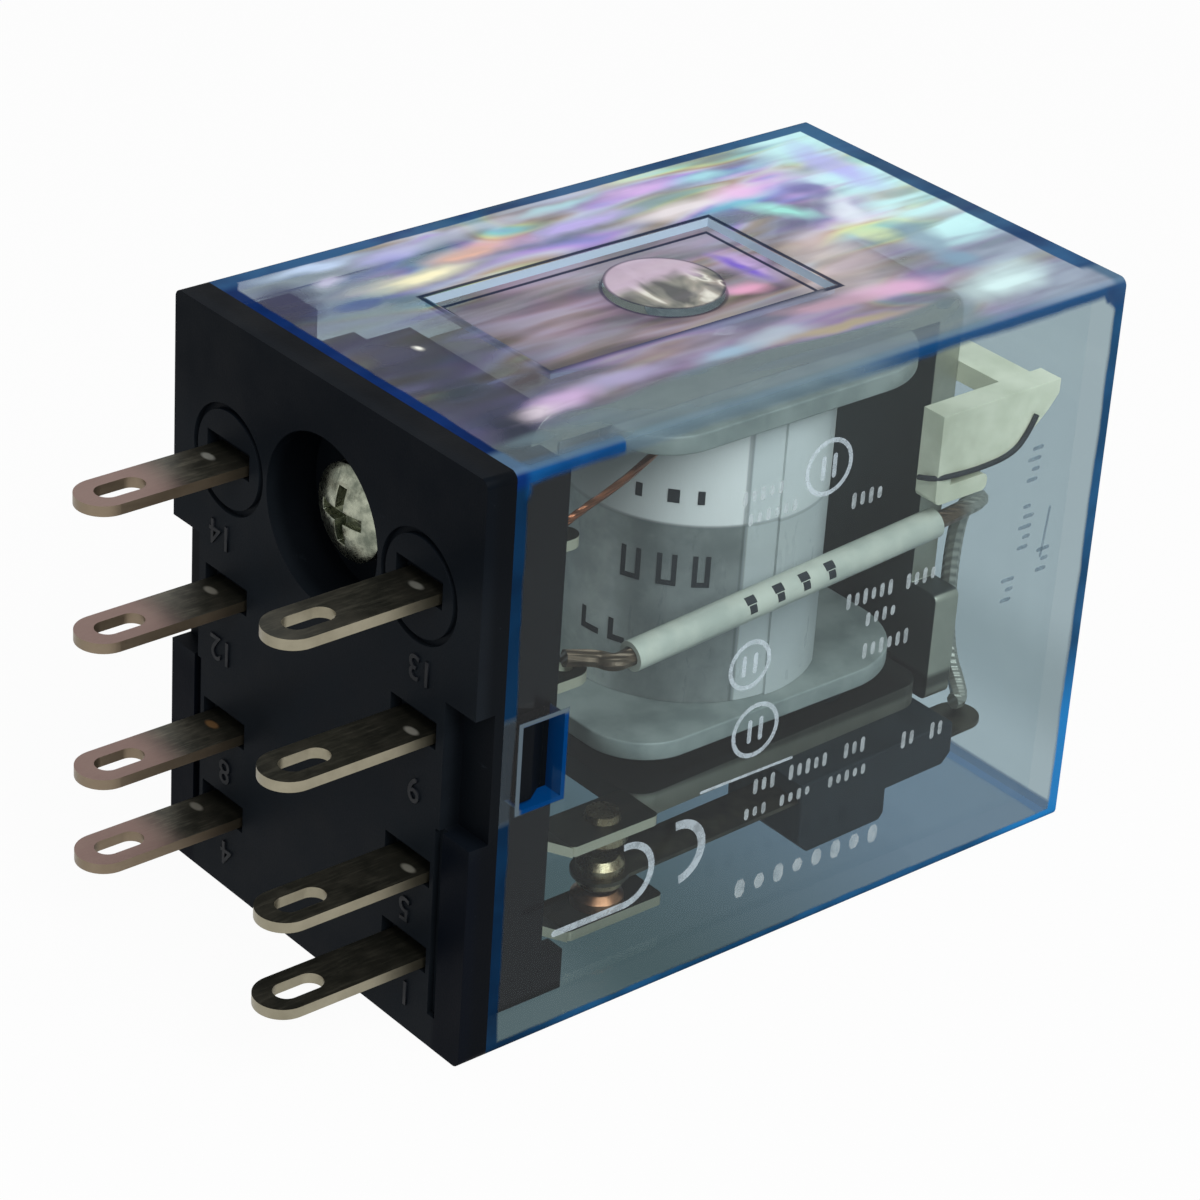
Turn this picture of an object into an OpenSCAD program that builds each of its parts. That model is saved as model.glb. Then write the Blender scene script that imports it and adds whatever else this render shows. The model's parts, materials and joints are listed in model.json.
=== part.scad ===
// Plug-in power relay with two changeover contacts, eight flat blades and a clear cover.
// X runs along the relay's height, from the blades to the far end of the cover.
// Y runs across the two columns of blades, and Z along each column, coil blades uppermost.
// The origin is the middle of the seating face, where the base meets a socket. Sizes are in mm.

/* [Body] */
// Height of the body, from the seating face to the far end of the cover
body_h = 36; // [34:0.5:40]
// Width of the body across the two columns of blades
body_w = 21.5; // [21:0.1:24]
// Length of the body along the columns of blades
body_l = 28; // [27:0.1:31]
// Radius of the body's long edges
edge_r = 0.4; // [0.2:0.1:0.8]

/* [Cover] */
// Wall of the clear cover
wall = 1; // [0.8:0.05:1.2]
// Distance from the flange to each latch window
window_rise = 1.05; // [0.8:0.05:1.2]
// Height of each latch window
window_h = 2.2; // [1.8:0.1:2.6]
// Length of each latch window
window_l = 4; // [3:0.2:5]
// Length of the sunk panel over the coil
panel_l = 16; // [12:0.5:18]
// Width of the sunk panel
panel_w = 8.5; // [6:0.5:12]
// Depth of the sunk panel
panel_d = 0.4; // [0.2:0.05:0.5]
// Distance from the seating face to the near end of the sunk panel
panel_x = 8.4; // [7:0.2:10]
// Diameter of the round stub in the panel
stub_d = 5.4; // [4:0.2:6]
// Distance from the seating face to the stub's axis
stub_x = 18.2; // [16:0.2:20]
// Length by which the stub reaches inside the cover
stub_in = 0.5; // [0.3:0.05:0.6]

/* [Base] */
// Thickness of the flange, which is flush with the cover
flange_t = 1.5; // [1.2:0.1:2]
// Height of the upstand inside the cover
upstand_h = 3.7; // [3.4:0.1:4.2]
// Gap between the upstand and the cover
cover_gap = 0.1; // [0.05:0.01:0.15]
// Length of the release notches in the flange
notch_l = 6.2; // [5:0.2:7]
// Depth of the release notches
notch_d = 2; // [1.6:0.1:2.2]
// Thickness of the flange left behind each release notch
notch_web = 0.5; // [0.3:0.05:0.7]
// Width of the step line below each release notch
step_line_w = 0.5; // [0.3:0.05:0.6]
// Diameter of the pocket around the yoke screw
pocket_d = 7.8; // [7:0.1:8.2]
// Depth of that pocket
pocket_deep = 2.6; // [2.4:0.1:3.2]
// Height of the boss that carries the yoke's foot
boss_h = 2.3; // [2:0.1:2.8]
// Depth of the gaps in the upstand's upper edge
merlon_d = 1.7; // [1:0.1:2]
// Height of the barrier between the two sets of contacts
barrier_h = 5.8; // [4:0.2:6]
// Thickness of that barrier
barrier_t = 1; // [0.8:0.1:1.4]

/* [Blades] */
// Width of the blades
blade_w = 2.6; // [2.2:0.1:2.8]
// Thickness of the blades
blade_t = 0.5; // [0.4:0.05:0.6]
// Length of the blades below the seating face
blade_len = 7.6; // [6:0.2:9]
// Distance from each wide side of the body to the middle of its column of blades
column_inset = 4.05; // [3.9:0.05:4.2]
// Height of the coil blades' row above the middle
coil_row = 7.5; // [7.2:0.1:7.8]
// Height of the common blades' row above the middle
common_row = 0.95; // [0.6:0.05:1.3]
// Depth of the normally open blades' row below the middle
open_row = 5.8; // [5.4:0.1:6]
// Depth of the normally closed blades' row below the middle
closed_row = 10.1; // [9.6:0.1:10.4]
// Width of the eye in each blade
eye_w = 1.2; // [1:0.05:1.4]
// Length of the eye
eye_l = 2.4; // [2:0.1:3]
// Metal between the blade's tip and its eye
eye_land = 0.9; // [0.7:0.1:1.3]
// Gap around a blade in its slot
slot_gap = 0.03; // [0.02:0.005:0.05]

/* [Contacts] */
// Distance from the seating face to the contacts' axis
contact_x = 10.8; // [10.2:0.1:11.2]
// Travel of the moving contacts
contact_travel = 0.62; // [0.5:0.02:0.7]
// Air left between contacts that meet
contact_air = 0.08; // [0.06:0.01:0.1]
// Diameter of the fixed contact heads
fixed_d = 2.4; // [2:0.1:2.6]
// Height of the fixed contact heads
fixed_h = 0.75; // [0.6:0.05:0.9]
// Diameter of the moving contact heads
moving_d = 2.2; // [1.8:0.1:2.4]
// Height of each moving contact head
moving_h = 0.7; // [0.5:0.05:0.8]
// Diameter of the contact rivets' shanks
shank_d = 1.1; // [0.9:0.05:1.3]
// Thickness of the moving springs
spring_t = 0.2; // [0.15:0.01:0.25]
// Width of the moving springs
spring_w = 2.3; // [2:0.1:2.4]
// Space between the lower contact strips and the cover
strip_clear = 0.85; // [0.6:0.05:1]
// Reach of the upper contact bars past the contacts' axis
open_reach = 2.2; // [1.8:0.1:2.4]
// Reach of the lower contact bars past the contacts' axis
closed_reach = 2.8; // [2.4:0.1:3.2]
// Length from the base to the level part of the contact strips
strip_set = 2.9; // [2.5:0.1:3.2]

/* [Magnet] */
// Distance from the upstand to the coil's axis
coil_set = 15.6; // [15:0.1:16.2]
// Radius of the iron core
core_r = 3; // [2.6:0.1:3.2]
// Radius of the core's pole face
pole_r = 4.2; // [3.6:0.1:4.8]
// Length by which the pole stands out below the bobbin
pole_out = 1.7; // [1.4:0.1:2]
// Wall of the bobbin's barrel
barrel_t = 0.7; // [0.5:0.05:0.9]
// Thickness of the bobbin's flanges
bobbin_t = 0.9; // [0.7:0.05:1.1]
// Width of the bobbin's flanges
bobbin_w = 14; // [13.4:0.2:14.4]
// Distance from the coil's axis to the bobbin's edge beside the base
bobbin_front = 8.8; // [8.2:0.1:9]
// Depth of the wound wire on the barrel
wound_t = 1.95; // [1.6:0.05:2.1]
// Thickness of the tape over the wire
tape_t = 0.3; // [0.2:0.02:0.34]
// Thickness of the yoke plate
yoke_t = 1.5; // [1.3:0.1:1.7]
// Width of the yoke over the coil
yoke_w = 8.6; // [8:0.2:9.4]
// Width of the far leg's foot, which carries the hinge
leg_w = 12; // [11:0.2:12.4]
// Height of that foot
leg_foot_h = 5.6; // [5:0.2:6.4]
// Space between the far leg and the cover
far_gap = 2.3; // [2.2:0.05:2.6]
// Height of the core's riveted head
head_h = 0.3; // [0.2:0.05:0.4]
// Diameter of the yoke screw's head
screw_head_d = 4.4; // [4:0.1:4.8]
// Height of the yoke screw's head
screw_head_h = 1.7; // [1.4:0.1:1.9]
// Diameter of the yoke screw's shank
screw_d = 2; // [1.8:0.1:2.2]

/* [Armature] */
// Thickness of the armature
armature_t = 1.2; // [1:0.05:1.4]
// Width of the armature
armature_w = 12; // [11:0.2:12.4]
// Width of the armature's tongue through the far leg
tongue_w = 6.4; // [5.6:0.2:7]
// Clearance of the hinge
hinge_gap = 0.1; // [0.05:0.01:0.1]
// Plastic of the moulded block outside each moving spring
block_side = 0.3; // [0.25:0.05:0.6]
// Depth of the moulded block below the armature
block_t = 2.2; // [2:0.1:2.4]
// Length of the moulded block
block_l = 9.5; // [9:0.5:11]
// Length of the heel under the block's free end
heel_l = 5.4; // [5:0.1:6]
// Depth of the heel below the block
heel_t = 1.6; // [1.3:0.1:1.8]
// Diameter of the studs that rivet the block to the armature
stud_d = 1.8; // [1.5:0.1:2]
// Reach of the moving springs' tails past the far leg
tail_out = 1; // [0.8:0.05:1.2]

/* [Wires] */
// Outer diameter of the sleeves
sleeve_d = 1.4; // [1.2:0.05:1.5]
// Diameter of the flexible leads
lead_d = 0.8; // [0.6:0.05:0.9]
// Height of the sleeves' lower ends above the middle
sleeve_z = 1.5; // [1.4:0.05:2]
// Rise of the sleeves towards the far leg
sleeve_rise = 1.3; // [0.8:0.1:1.5]
// Distance from the base's upstand to the sleeves
sleeve_start = 5.4; // [5:0.1:6]
// Distance from the sleeves to the far leg
sleeve_stop = 2.9; // [2:0.1:3.5]
// Depth of the leads behind the edge of the far leg's foot
lead_tuck = 1.4; // [1.2:0.1:1.6]
// Space between a sleeve's axis and the cover's inner wall
sleeve_inset = 1.75; // [1.6:0.05:1.9]
// Diameter of the coil's end wires
coil_wire_d = 0.35; // [0.25:0.05:0.5]
// Outer diameter of the return spring
return_d = 1.8; // [1.6:0.05:1.9]
// Wire of the return spring
return_wire = 0.3; // [0.2:0.02:0.34]
// Turns of the return spring
return_turns = 12; // [8:1:16]

/* [Lead guide] */
// Height of the guide's cheeks above the middle
guide_rise = 5.45; // [5.2:0.05:5.8]
// Height of the cheeks
guide_h = 3.2; // [2.8:0.1:3.6]
// Thickness of the cheeks
guide_t = 1.3; // [1:0.1:1.6]
// Space between the cheeks and the cover's inner walls
guide_clear = 0.95; // [0.8:0.05:1.1]
// Reach of the cheeks from the far leg towards the base
guide_reach = 3.8; // [3:0.1:4.2]
// Space between the guide and the far end of the cover
guide_end = 0.3; // [0.2:0.05:0.5]
// Rise of the bridge above the cheeks' lower edge
bridge_rise = 1.75; // [1.6:0.05:1.9]
// Thickness of the bridge behind the far leg
bridge_t = 1; // [0.8:0.1:1.2]
// Length of the lip under each cheek
lip_l = 3.2; // [2.6:0.1:3.6]
// Thickness of the lip
lip_t = 0.85; // [0.7:0.05:1]
// Gap between the lip and the cheek
lip_gap = 0.4; // [0.3:0.05:0.6]

/* [Hidden] */
$fn = 48;
overlap = 0.01;
touch = 0.02;

// Room inside the cover, and the planes that the pieces share
room_w = body_w - 2 * wall;
room_l = body_l - 2 * wall;
room_end = body_h - wall;
base_top = flange_t + upstand_h;
boss_top = base_top + boss_h;
column_y = body_w / 2 - column_inset;
screw_z = coil_row;

// Contact stack, from the cover's lower wall upwards
closed_bar = -room_l / 2 + strip_clear + blade_t / 2;
closed_face = closed_bar + blade_t / 2 + fixed_h;
moving_stack = 2 * moving_h + spring_t;
open_face = closed_face + 2 * contact_air + moving_stack + contact_travel;
open_bar = open_face + fixed_h + blade_t / 2;
spring_z = open_face - contact_air - moving_stack / 2;
strip_x = base_top + strip_set;

// Magnet stack: the armature lies over the moving springs, and the pole over the armature
armature_low = spring_z + spring_t / 2 + 0.95;
armature_top = armature_low + armature_t;
pole_face = armature_top + 0.05;
bobbin_low = pole_face + pole_out;
core_top = room_l / 2 - stub_in - 0.15;
yoke_top = core_top - head_h;
yoke_low = yoke_top - yoke_t;
bobbin_high = yoke_low - touch;
coil_x = base_top + coil_set;
leg_out = room_end - far_gap;
leg_in = leg_out - yoke_t;
bobbin_back = leg_in - 1.4 - coil_x;
barrel_r = core_r + 0.08 + barrel_t;
wound_r = barrel_r + touch + wound_t;
tape_r = wound_r + touch + tape_t;

// Hinge at the foot of the far leg, and the angle of the armature at rest
hinge_x = leg_in + yoke_t / 2;
hinge_z = armature_top;
rest_angle = asin(contact_travel / (hinge_x - contact_x));
block_w = 2 * (column_y + spring_w / 2 + block_side);
tail_end = leg_out + tail_out;
tongue_end = room_end - 0.5;
return_x = leg_out + (room_end - leg_out) / 2;
bridge_low = guide_rise + bridge_rise;

// Run of the sleeves beside the coil
sleeve_y = room_w / 2 - sleeve_inset;
sleeve_from = base_top + sleeve_start;
sleeve_run = leg_in - sleeve_stop - sleeve_from;
function sleeve_point(side, run) =
    [sleeve_from + run, side * sleeve_y, sleeve_z + sleeve_rise * run / sleeve_run];

// Extrusion of a YZ outline along X, between two planes
module along_x(x0, x1) {
    translate([x0, 0, 0])
        multmatrix([[0, 0, 1, 0], [1, 0, 0, 0], [0, 1, 0, 0], [0, 0, 0, 1]])
            linear_extrude(x1 - x0)
                children();
}

// Extrusion of an XZ outline along Y, centred on a plane
module along_y(y, width) {
    translate([0, y, 0])
        rotate([90, 0, 0])
            linear_extrude(width, center = true)
                children();
}

// Extrusion of an XY outline along Z, between two planes
module along_z(z0, z1) {
    translate([0, 0, z0])
        linear_extrude(z1 - z0)
            children();
}

// Box between two corners
module block(low, high) {
    translate(low)
        cube(high - low);
}

// Centred rectangle with round corners
module round_rect(a, b, r) {
    square([a - 2 * r, b], center = true);
    square([a, b - 2 * r], center = true);
    for (s = [-1, 1], t = [-1, 1])
        translate([s * (a / 2 - r), t * (b / 2 - r)])
            circle(r);
}

// Slot with round ends, centred, its length along X
module slot(length, width) {
    square([length - width, width], center = true);
    for (s = [-1, 1])
        translate([s * (length - width) / 2, 0])
            circle(d = width);
}

// Strip from x0 to x1 with a round end at x1
module tongue(x0, x1, width) {
    translate([x0, -width / 2])
        square([x1 - width / 2 - x0, width]);
    translate([x1 - width / 2, 0])
        circle(d = width);
}

// Quarter disc that rounds the outside of a bend
module bend(t) {
    intersection() {
        circle(t);
        square(t);
    }
}

// Path with its corners cut n times, which rounds them
function rounded_path(p, n) =
    n == 0 ? p : rounded_path(concat([p[0]], [for (i = [0 : len(p) - 2])
        each [0.75 * p[i] + 0.25 * p[i + 1], 0.25 * p[i] + 0.75 * p[i + 1]]],
        [p[len(p) - 1]]), n - 1);

// Wire swept along a path as one closed surface; outs gives a sideways direction at each point
module swept_wire(path, outs, d, sides) {
    last = len(path) - 1;
    function ahead(i) = path[min(i + 1, last)] - path[max(i - 1, 0)];
    function ring(i) =
        let (t = ahead(i) / norm(ahead(i)), b = cross(t, outs[i]) / norm(cross(t, outs[i])),
            n = cross(b, t))
        [for (k = [0 : sides - 1])
            path[i] + d / 2 * (cos(360 * k / sides) * n + sin(360 * k / sides) * b)];
    points = [for (i = [0 : last]) each ring(i)];
    walls = [for (i = [0 : last - 1], k = [0 : sides - 1])
        let (a = i * sides + k, b = i * sides + (k + 1) % sides)
        each [[a, b, b + sides], [a, b + sides, a + sides]]];
    caps = [[for (k = [sides - 1 : -1 : 0]) k], [for (k = [0 : sides - 1]) last * sides + k]];
    polyhedron(points, concat(walls, caps));
}

// Soft wire through a list of points, with round corners
module wire(points, out, d) {
    path = rounded_path(points, 3);
    swept_wire(path, [for (q = path) out], d, 8);
}

// Contact rivet along Z: its head hangs below zero and its tail is closed over the grip
module contact_rivet(head, height, grip) {
    shank = shank_d / 2;
    tail = shank + 0.3;
    rotate_extrude()
        polygon([[0, -height], [head / 2 - 0.3, -height], [head / 2, 0.3 - height],
            [head / 2, 0], [shank, 0], [shank, grip], [tail, grip], [tail - 0.1, grip + 0.3],
            [0, grip + 0.3]]);
}

// The pieces that swing with the armature, drawn pulled in and turned back to rest
module swung() {
    translate([hinge_x, 0, hinge_z])
        rotate([0, -rest_angle, 0])
            translate([-hinge_x, 0, -hinge_z])
                children();
}

// Outline of a blade: a round tip, an eye and a straight run up to x_end
module blade_outline(x_end) {
    difference() {
        rotate(180)
            tongue(-x_end, blade_len, blade_w);
        translate([eye_land + eye_l / 2 - blade_len, 0])
            slot(eye_l, eye_w);
    }
}

// Flat blade in its row and column, up to x_end
module blade(side, row, x_end) {
    translate([0, side * column_y, 0])
        along_z(row - blade_t / 2, row + blade_t / 2)
            blade_outline(x_end);
}

// Coil terminal: blade, and a narrow post for the coil's end wire
module coil_terminal(side) {
    color([0.62, 0.6, 0.52]) {
        blade(side, coil_row, base_top);
        translate([0, side * column_y, coil_row - blade_t / 2])
            along_z(0, blade_t)
                tongue(base_top - overlap, base_top + 3, blade_w / 2);
    }
}

// Common terminal: blade, and a lug with a solder hole for the flexible lead
module common_terminal(side) {
    color([0.62, 0.6, 0.52])
        difference() {
            union() {
                blade(side, common_row, base_top);
                translate([0, side * column_y, common_row - blade_t / 2])
                    along_z(0, blade_t)
                        tongue(base_top - overlap, base_top + 3.8, 2);
            }
            translate([base_top + 2.8, side * column_y, common_row - blade_t])
                cylinder(d = 0.8, h = 2 * blade_t);
        }
}

// Contact terminal: blade, a set that brings the strip to its level, and the contact bar
module contact_terminal(side, row, bar, bar_end) {
    half = blade_t / 2;
    color([0.66, 0.62, 0.5]) {
        blade(side, row, base_top);
        along_y(side * column_y, blade_w)
            polygon([[base_top, row - half], [strip_x, bar - half], [strip_x, bar + half],
                [base_top, row + half]]);
        translate([0, side * column_y, 0])
            along_z(bar - half, bar + half)
                difference() {
                    translate([(strip_x + bar_end) / 2, 0])
                        round_rect(bar_end - strip_x + 2 * overlap, blade_w, 0.3);
                    translate([contact_x, 0])
                        circle(d = shank_d + 2 * touch);
                }
    }
}

// Fixed contact of an open pair, under its bar
module open_contact(side) {
    color([0.85, 0.7, 0.42])
        translate([contact_x, side * column_y, open_bar - blade_t / 2 - touch])
            contact_rivet(fixed_d, fixed_h - touch, blade_t + 2 * touch);
}

// Fixed contact of a closed pair, on its bar
module closed_contact(side) {
    color([0.75, 0.42, 0.25])
        translate([contact_x, side * column_y, closed_bar + blade_t / 2 + touch])
            mirror([0, 0, 1])
                contact_rivet(fixed_d, fixed_h - touch, blade_t + 2 * touch);
}

// Base: flange, upstand with castellated upper edge, boss, barrier, latch hooks and slots
module base() {
    fit_w = room_w - 2 * cover_gap;
    fit_l = room_l - 2 * cover_gap;
    color([0.09, 0.1, 0.12])
        difference() {
            union() {
                base_flange();
                along_x(flange_t, base_top)
                    square([fit_w, fit_l], center = true);
                for (s = [-1, 1])
                    latch_hook(s, fit_w / 2);
                along_x(base_top - overlap, boss_top)
                    translate([0, (screw_z + fit_l / 2) / 2 - 1.4])
                        square([yoke_w - 0.4, fit_l / 2 - screw_z + 2.8], center = true);
                block([base_top - overlap, -barrier_t / 2, -fit_l / 2],
                    [base_top + barrier_h, barrier_t / 2, open_bar + 1.5]);
                for (s = [-1, 1])
                    block([base_top - overlap, s * (fit_w / 2 - 0.5) - 0.5, -fit_l / 2],
                        [base_top + 1.2, s * (fit_w / 2 - 0.5) + 0.5, closed_bar + 1]);
            }
            translate([-overlap, 0, screw_z])
                rotate([0, 90, 0])
                    cylinder(d = pocket_d, h = pocket_deep + overlap);
            translate([0, 0, screw_z])
                rotate([0, 90, 0])
                    cylinder(d = screw_d + 0.2, h = boss_top + 1);
            for (s = [-1, 1]) {
                merlon_gap(s, fit_l / 2);
                coil_ring(s);
                for (row = [coil_row, common_row, -open_row, -closed_row])
                    blade_slot(s, row);
            }
        }
}

// Flange flush with the cover, with a release notch in each wide side and a step line below it
module base_flange() {
    difference() {
        along_x(0, flange_t)
            round_rect(body_w, body_l, edge_r);
        for (s = [-1, 1]) {
            block([-1, s * body_w / 2 - notch_d, -notch_l / 2],
                [flange_t - notch_web, s * body_w / 2 + notch_d, notch_l / 2]);
            block([-1, s * (body_w / 2 - notch_d) - step_line_w / 2, 1.6 - body_l / 2],
                [0.3, s * (body_w / 2 - notch_d) + step_line_w / 2, overlap - notch_l / 2]);
        }
    }
}

// Hook that snaps into a latch window, with its ramp towards the far end
module latch_hook(s, from) {
    x0 = flange_t + window_rise + 0.15;
    x1 = flange_t + window_rise + window_h - 0.15;
    reach = body_w / 2 - 0.3;
    along_z(0.15 - window_l / 2, window_l / 2 - 0.15)
        mirror([0, s < 0 ? 1 : 0])
            polygon([[x0, from - overlap], [x0, reach], [x0 + 0.7, reach], [x1, from - overlap]]);
}

// Gap between two merlons of the upstand's upper edge
module merlon_gap(s, edge) {
    y = s * (column_y - 0.4);
    block([base_top - merlon_d, y - 1.3, edge - 2], [boss_top + 1, y + 1.3, edge + 1]);
}

// Round line moulded around a coil blade
module coil_ring(s) {
    translate([-1, s * column_y, coil_row])
        rotate([0, 90, 0])
            difference() {
                cylinder(r = blade_w / 2 + 1.25, h = 1.3);
                cylinder(r = blade_w / 2 + 0.95, h = 1.3);
            }
}

// Slot for one blade, with a wider mouth in the seating face
module blade_slot(s, row) {
    gap = 2 * slot_gap;
    translate([0, s * column_y, row]) {
        translate([base_top / 2, 0, 0])
            cube([base_top + 1, blade_w + gap, blade_t + gap], center = true);
        translate([0, 0, 0.25])
            cube([1.2, blade_w + 0.5, blade_t + 0.8], center = true);
    }
}

// Clear cover: a box open to the base, with latch windows, the sunk panel and its stub
module cover() {
    color([0.6, 0.75, 0.9, 0.35])
        difference() {
            union() {
                difference() {
                    along_x(flange_t, body_h)
                        round_rect(body_w, body_l, edge_r);
                    along_x(flange_t - 1, room_end)
                        square([room_w, room_l], center = true);
                    block([panel_x, -panel_w / 2, body_l / 2 - panel_d],
                        [panel_x + panel_l, panel_w / 2, body_l / 2 + 1]);
                }
                translate([stub_x, 0, room_l / 2 - stub_in])
                    cylinder(d = stub_d, h = wall + stub_in - 0.05);
            }
            for (s = [-1, 1])
                translate([flange_t + window_rise + window_h / 2, s * (body_w - wall) / 2, 0])
                    cube([window_h, wall + 0.4, window_l], center = true);
        }
}

// Yoke: foot on the base's boss, leg over the coil and far leg with the hinge notch
module yoke() {
    leg_low = armature_low - 0.1;
    foot_low = screw_z - 2.4;
    color([0.62, 0.6, 0.56])
        difference() {
            union() {
                along_y(0, yoke_w)
                    yoke_side(leg_low, foot_low);
                along_x(leg_in, leg_out)
                    translate([0, leg_low + leg_foot_h / 2])
                        round_rect(leg_w, leg_foot_h, edge_r);
            }
            translate([coil_x, 0, yoke_low - 1])
                cylinder(r = core_r - 0.85, h = yoke_t + 2);
            translate([boss_top - 1, 0, screw_z])
                rotate([0, 90, 0])
                    cylinder(d = screw_d + 2 * touch, h = yoke_t + 2);
            block([leg_in - 1, -tongue_w / 2 - 0.3, leg_low - 1],
                [leg_out + 1, tongue_w / 2 + 0.3, armature_top + hinge_gap]);
        }
}

// Side outline of the yoke, with round outer corners
module yoke_side(leg_low, foot_low) {
    foot = boss_top + touch;
    square_top = yoke_top - yoke_t;
    translate([foot, foot_low])
        square([yoke_t, square_top - foot_low]);
    translate([foot + yoke_t, square_top])
        square([leg_in - foot - yoke_t, yoke_t]);
    translate([leg_in, leg_low])
        square([yoke_t, square_top - leg_low]);
    translate([leg_in, square_top])
        bend(yoke_t);
    translate([foot + yoke_t, square_top])
        mirror([1, 0])
            bend(yoke_t);
}

// Screw that holds the yoke's foot to the base, its crossed head in the pocket
module yoke_screw() {
    head_l = screw_head_h;
    seat = pocket_deep - touch;
    color([0.8, 0.8, 0.76])
        translate([seat, 0, screw_z])
            rotate([0, 90, 0]) {
                cylinder(d = screw_d, h = boss_top - seat + yoke_t + 1.2);
                difference() {
                    intersection() {
                        translate([0, 0, -head_l])
                            cylinder(d = screw_head_d, h = head_l);
                        translate([0, 0, screw_head_d - head_l])
                            sphere(r = screw_head_d);
                    }
                    for (a = [0, 90])
                        rotate(a)
                            translate([0, 0, -head_l])
                                cube([screw_head_d * 0.6, screw_head_d / 8, head_l * 0.8], center = true);
                }
            }
}

// Iron core: pole face, shaft in the bobbin, and the head riveted over the yoke
module core() {
    neck = core_r - 0.87;
    color([0.5, 0.5, 0.52])
        translate([coil_x, 0, 0])
            rotate_extrude()
                polygon([[0, pole_face], [pole_r - 0.2, pole_face], [pole_r, pole_face + 0.2],
                    [pole_r, bobbin_low - touch], [core_r, bobbin_low - touch],
                    [core_r, yoke_low - touch], [neck, yoke_low - touch],
                    [neck, yoke_top + touch], [neck + 0.6, yoke_top + touch],
                    [neck + 0.3, core_top], [0, core_top]]);
}

// Outline of a bobbin flange: tight corners beside the base and wide ones at the far leg
module bobbin_flange() {
    front = coil_x - bobbin_front;
    back = coil_x + bobbin_back;
    half = bobbin_w / 2;
    r_front = 3;
    r_back = 4.3;
    translate([front + r_front, -half])
        square([back - front - r_front - r_back, bobbin_w]);
    translate([front, r_front - half])
        square([r_front + overlap, bobbin_w - 2 * r_front]);
    translate([back - r_back - overlap, r_back - half])
        square([r_back + overlap, bobbin_w - 2 * r_back]);
    for (s = [-1, 1]) {
        translate([front + r_front, s * (half - r_front)])
            circle(r_front);
        translate([back - r_back, s * (half - r_back)])
            circle(r_back);
    }
}

// Bobbin: barrel, lower flange, and upper flange with two notches for the end wires
module bobbin() {
    color([0.88, 0.88, 0.82])
        difference() {
            union() {
                along_z(bobbin_low, bobbin_low + bobbin_t)
                    bobbin_flange();
                along_z(bobbin_high - bobbin_t, bobbin_high)
                    difference() {
                        bobbin_flange();
                        for (s = [-1, 1])
                            translate([coil_x - bobbin_front, s * bobbin_w / 5])
                                circle(0.6);
                    }
                translate([coil_x, 0, bobbin_low])
                    cylinder(r = barrel_r, h = bobbin_high - bobbin_low);
            }
            translate([coil_x, 0, bobbin_low - 1])
                cylinder(r = core_r + 0.08, h = bobbin_high - bobbin_low + 2);
        }
}

// Ring on the coil's axis, between the bobbin's flanges
module coil_sleeve(r_in, r_out) {
    low = bobbin_low + bobbin_t + touch;
    high = bobbin_high - bobbin_t - touch;
    translate([coil_x, 0, low])
        difference() {
            cylinder(r = r_out, h = high - low);
            translate([0, 0, -1])
                cylinder(r = r_in, h = high - low + 2);
        }
}

// Wound copper wire
module coil_winding() {
    color([0.72, 0.4, 0.22])
        coil_sleeve(barrel_r + touch, wound_r);
}

// Tape over the winding, with its free end lapped on the side of column 9
module coil_tape() {
    lap_t = 0.15;
    lap_half = 20;
    lap_turn = -73;
    far = 2 * tape_r;
    color([0.9, 0.92, 0.88]) {
        coil_sleeve(wound_r + touch, tape_r);
        intersection() {
            coil_sleeve(tape_r - overlap, tape_r + lap_t);
            translate([coil_x, 0, bobbin_low])
                rotate(lap_turn)
                    linear_extrude(bobbin_high - bobbin_low)
                        polygon([[0, 0], far * [cos(lap_half), -sin(lap_half)],
                            far * [cos(lap_half), sin(lap_half)]]);
        }
    }
}

// End wire of the coil, from the winding to its terminal's post
module coil_lead(side) {
    out = tape_r + 0.3;
    high = bobbin_high - bobbin_t - 0.5;
    color([0.7, 0.36, 0.2])
        wire([[coil_x - out * cos(40), side * out * sin(40), high],
            [coil_x - bobbin_front - 0.3, side * bobbin_w * 0.42, high - 0.3],
            [base_top + 3.1, side * column_y, coil_row + blade_t / 2 + coil_wire_d / 2 + 0.6],
            [base_top + 1.8, side * column_y, coil_row + blade_t / 2 + coil_wire_d / 2 + touch]],
            [0, 0, 1], coil_wire_d);
}

// Armature: plate under the pole, and a tongue through the far leg for the return spring
module armature() {
    plate_x = contact_x + open_reach + 0.4;
    plate_end = leg_in - 0.2;
    color([0.6, 0.58, 0.52])
        swung()
            along_z(armature_low, armature_top)
                difference() {
                    union() {
                        translate([(plate_x + plate_end) / 2, 0])
                            round_rect(plate_end - plate_x, armature_w, 1.2);
                        translate([plate_end - 1, -tongue_w / 2])
                            square([tongue_end - plate_end + 1, tongue_w]);
                    }
                    translate([return_x, 0])
                        circle(d = return_wire + 0.6);
                    for (s = [-1, 1])
                        translate([plate_end - block_l / 2, s * armature_w / 3])
                            circle(d = stud_d + 2 * touch);
                }
}

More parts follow.
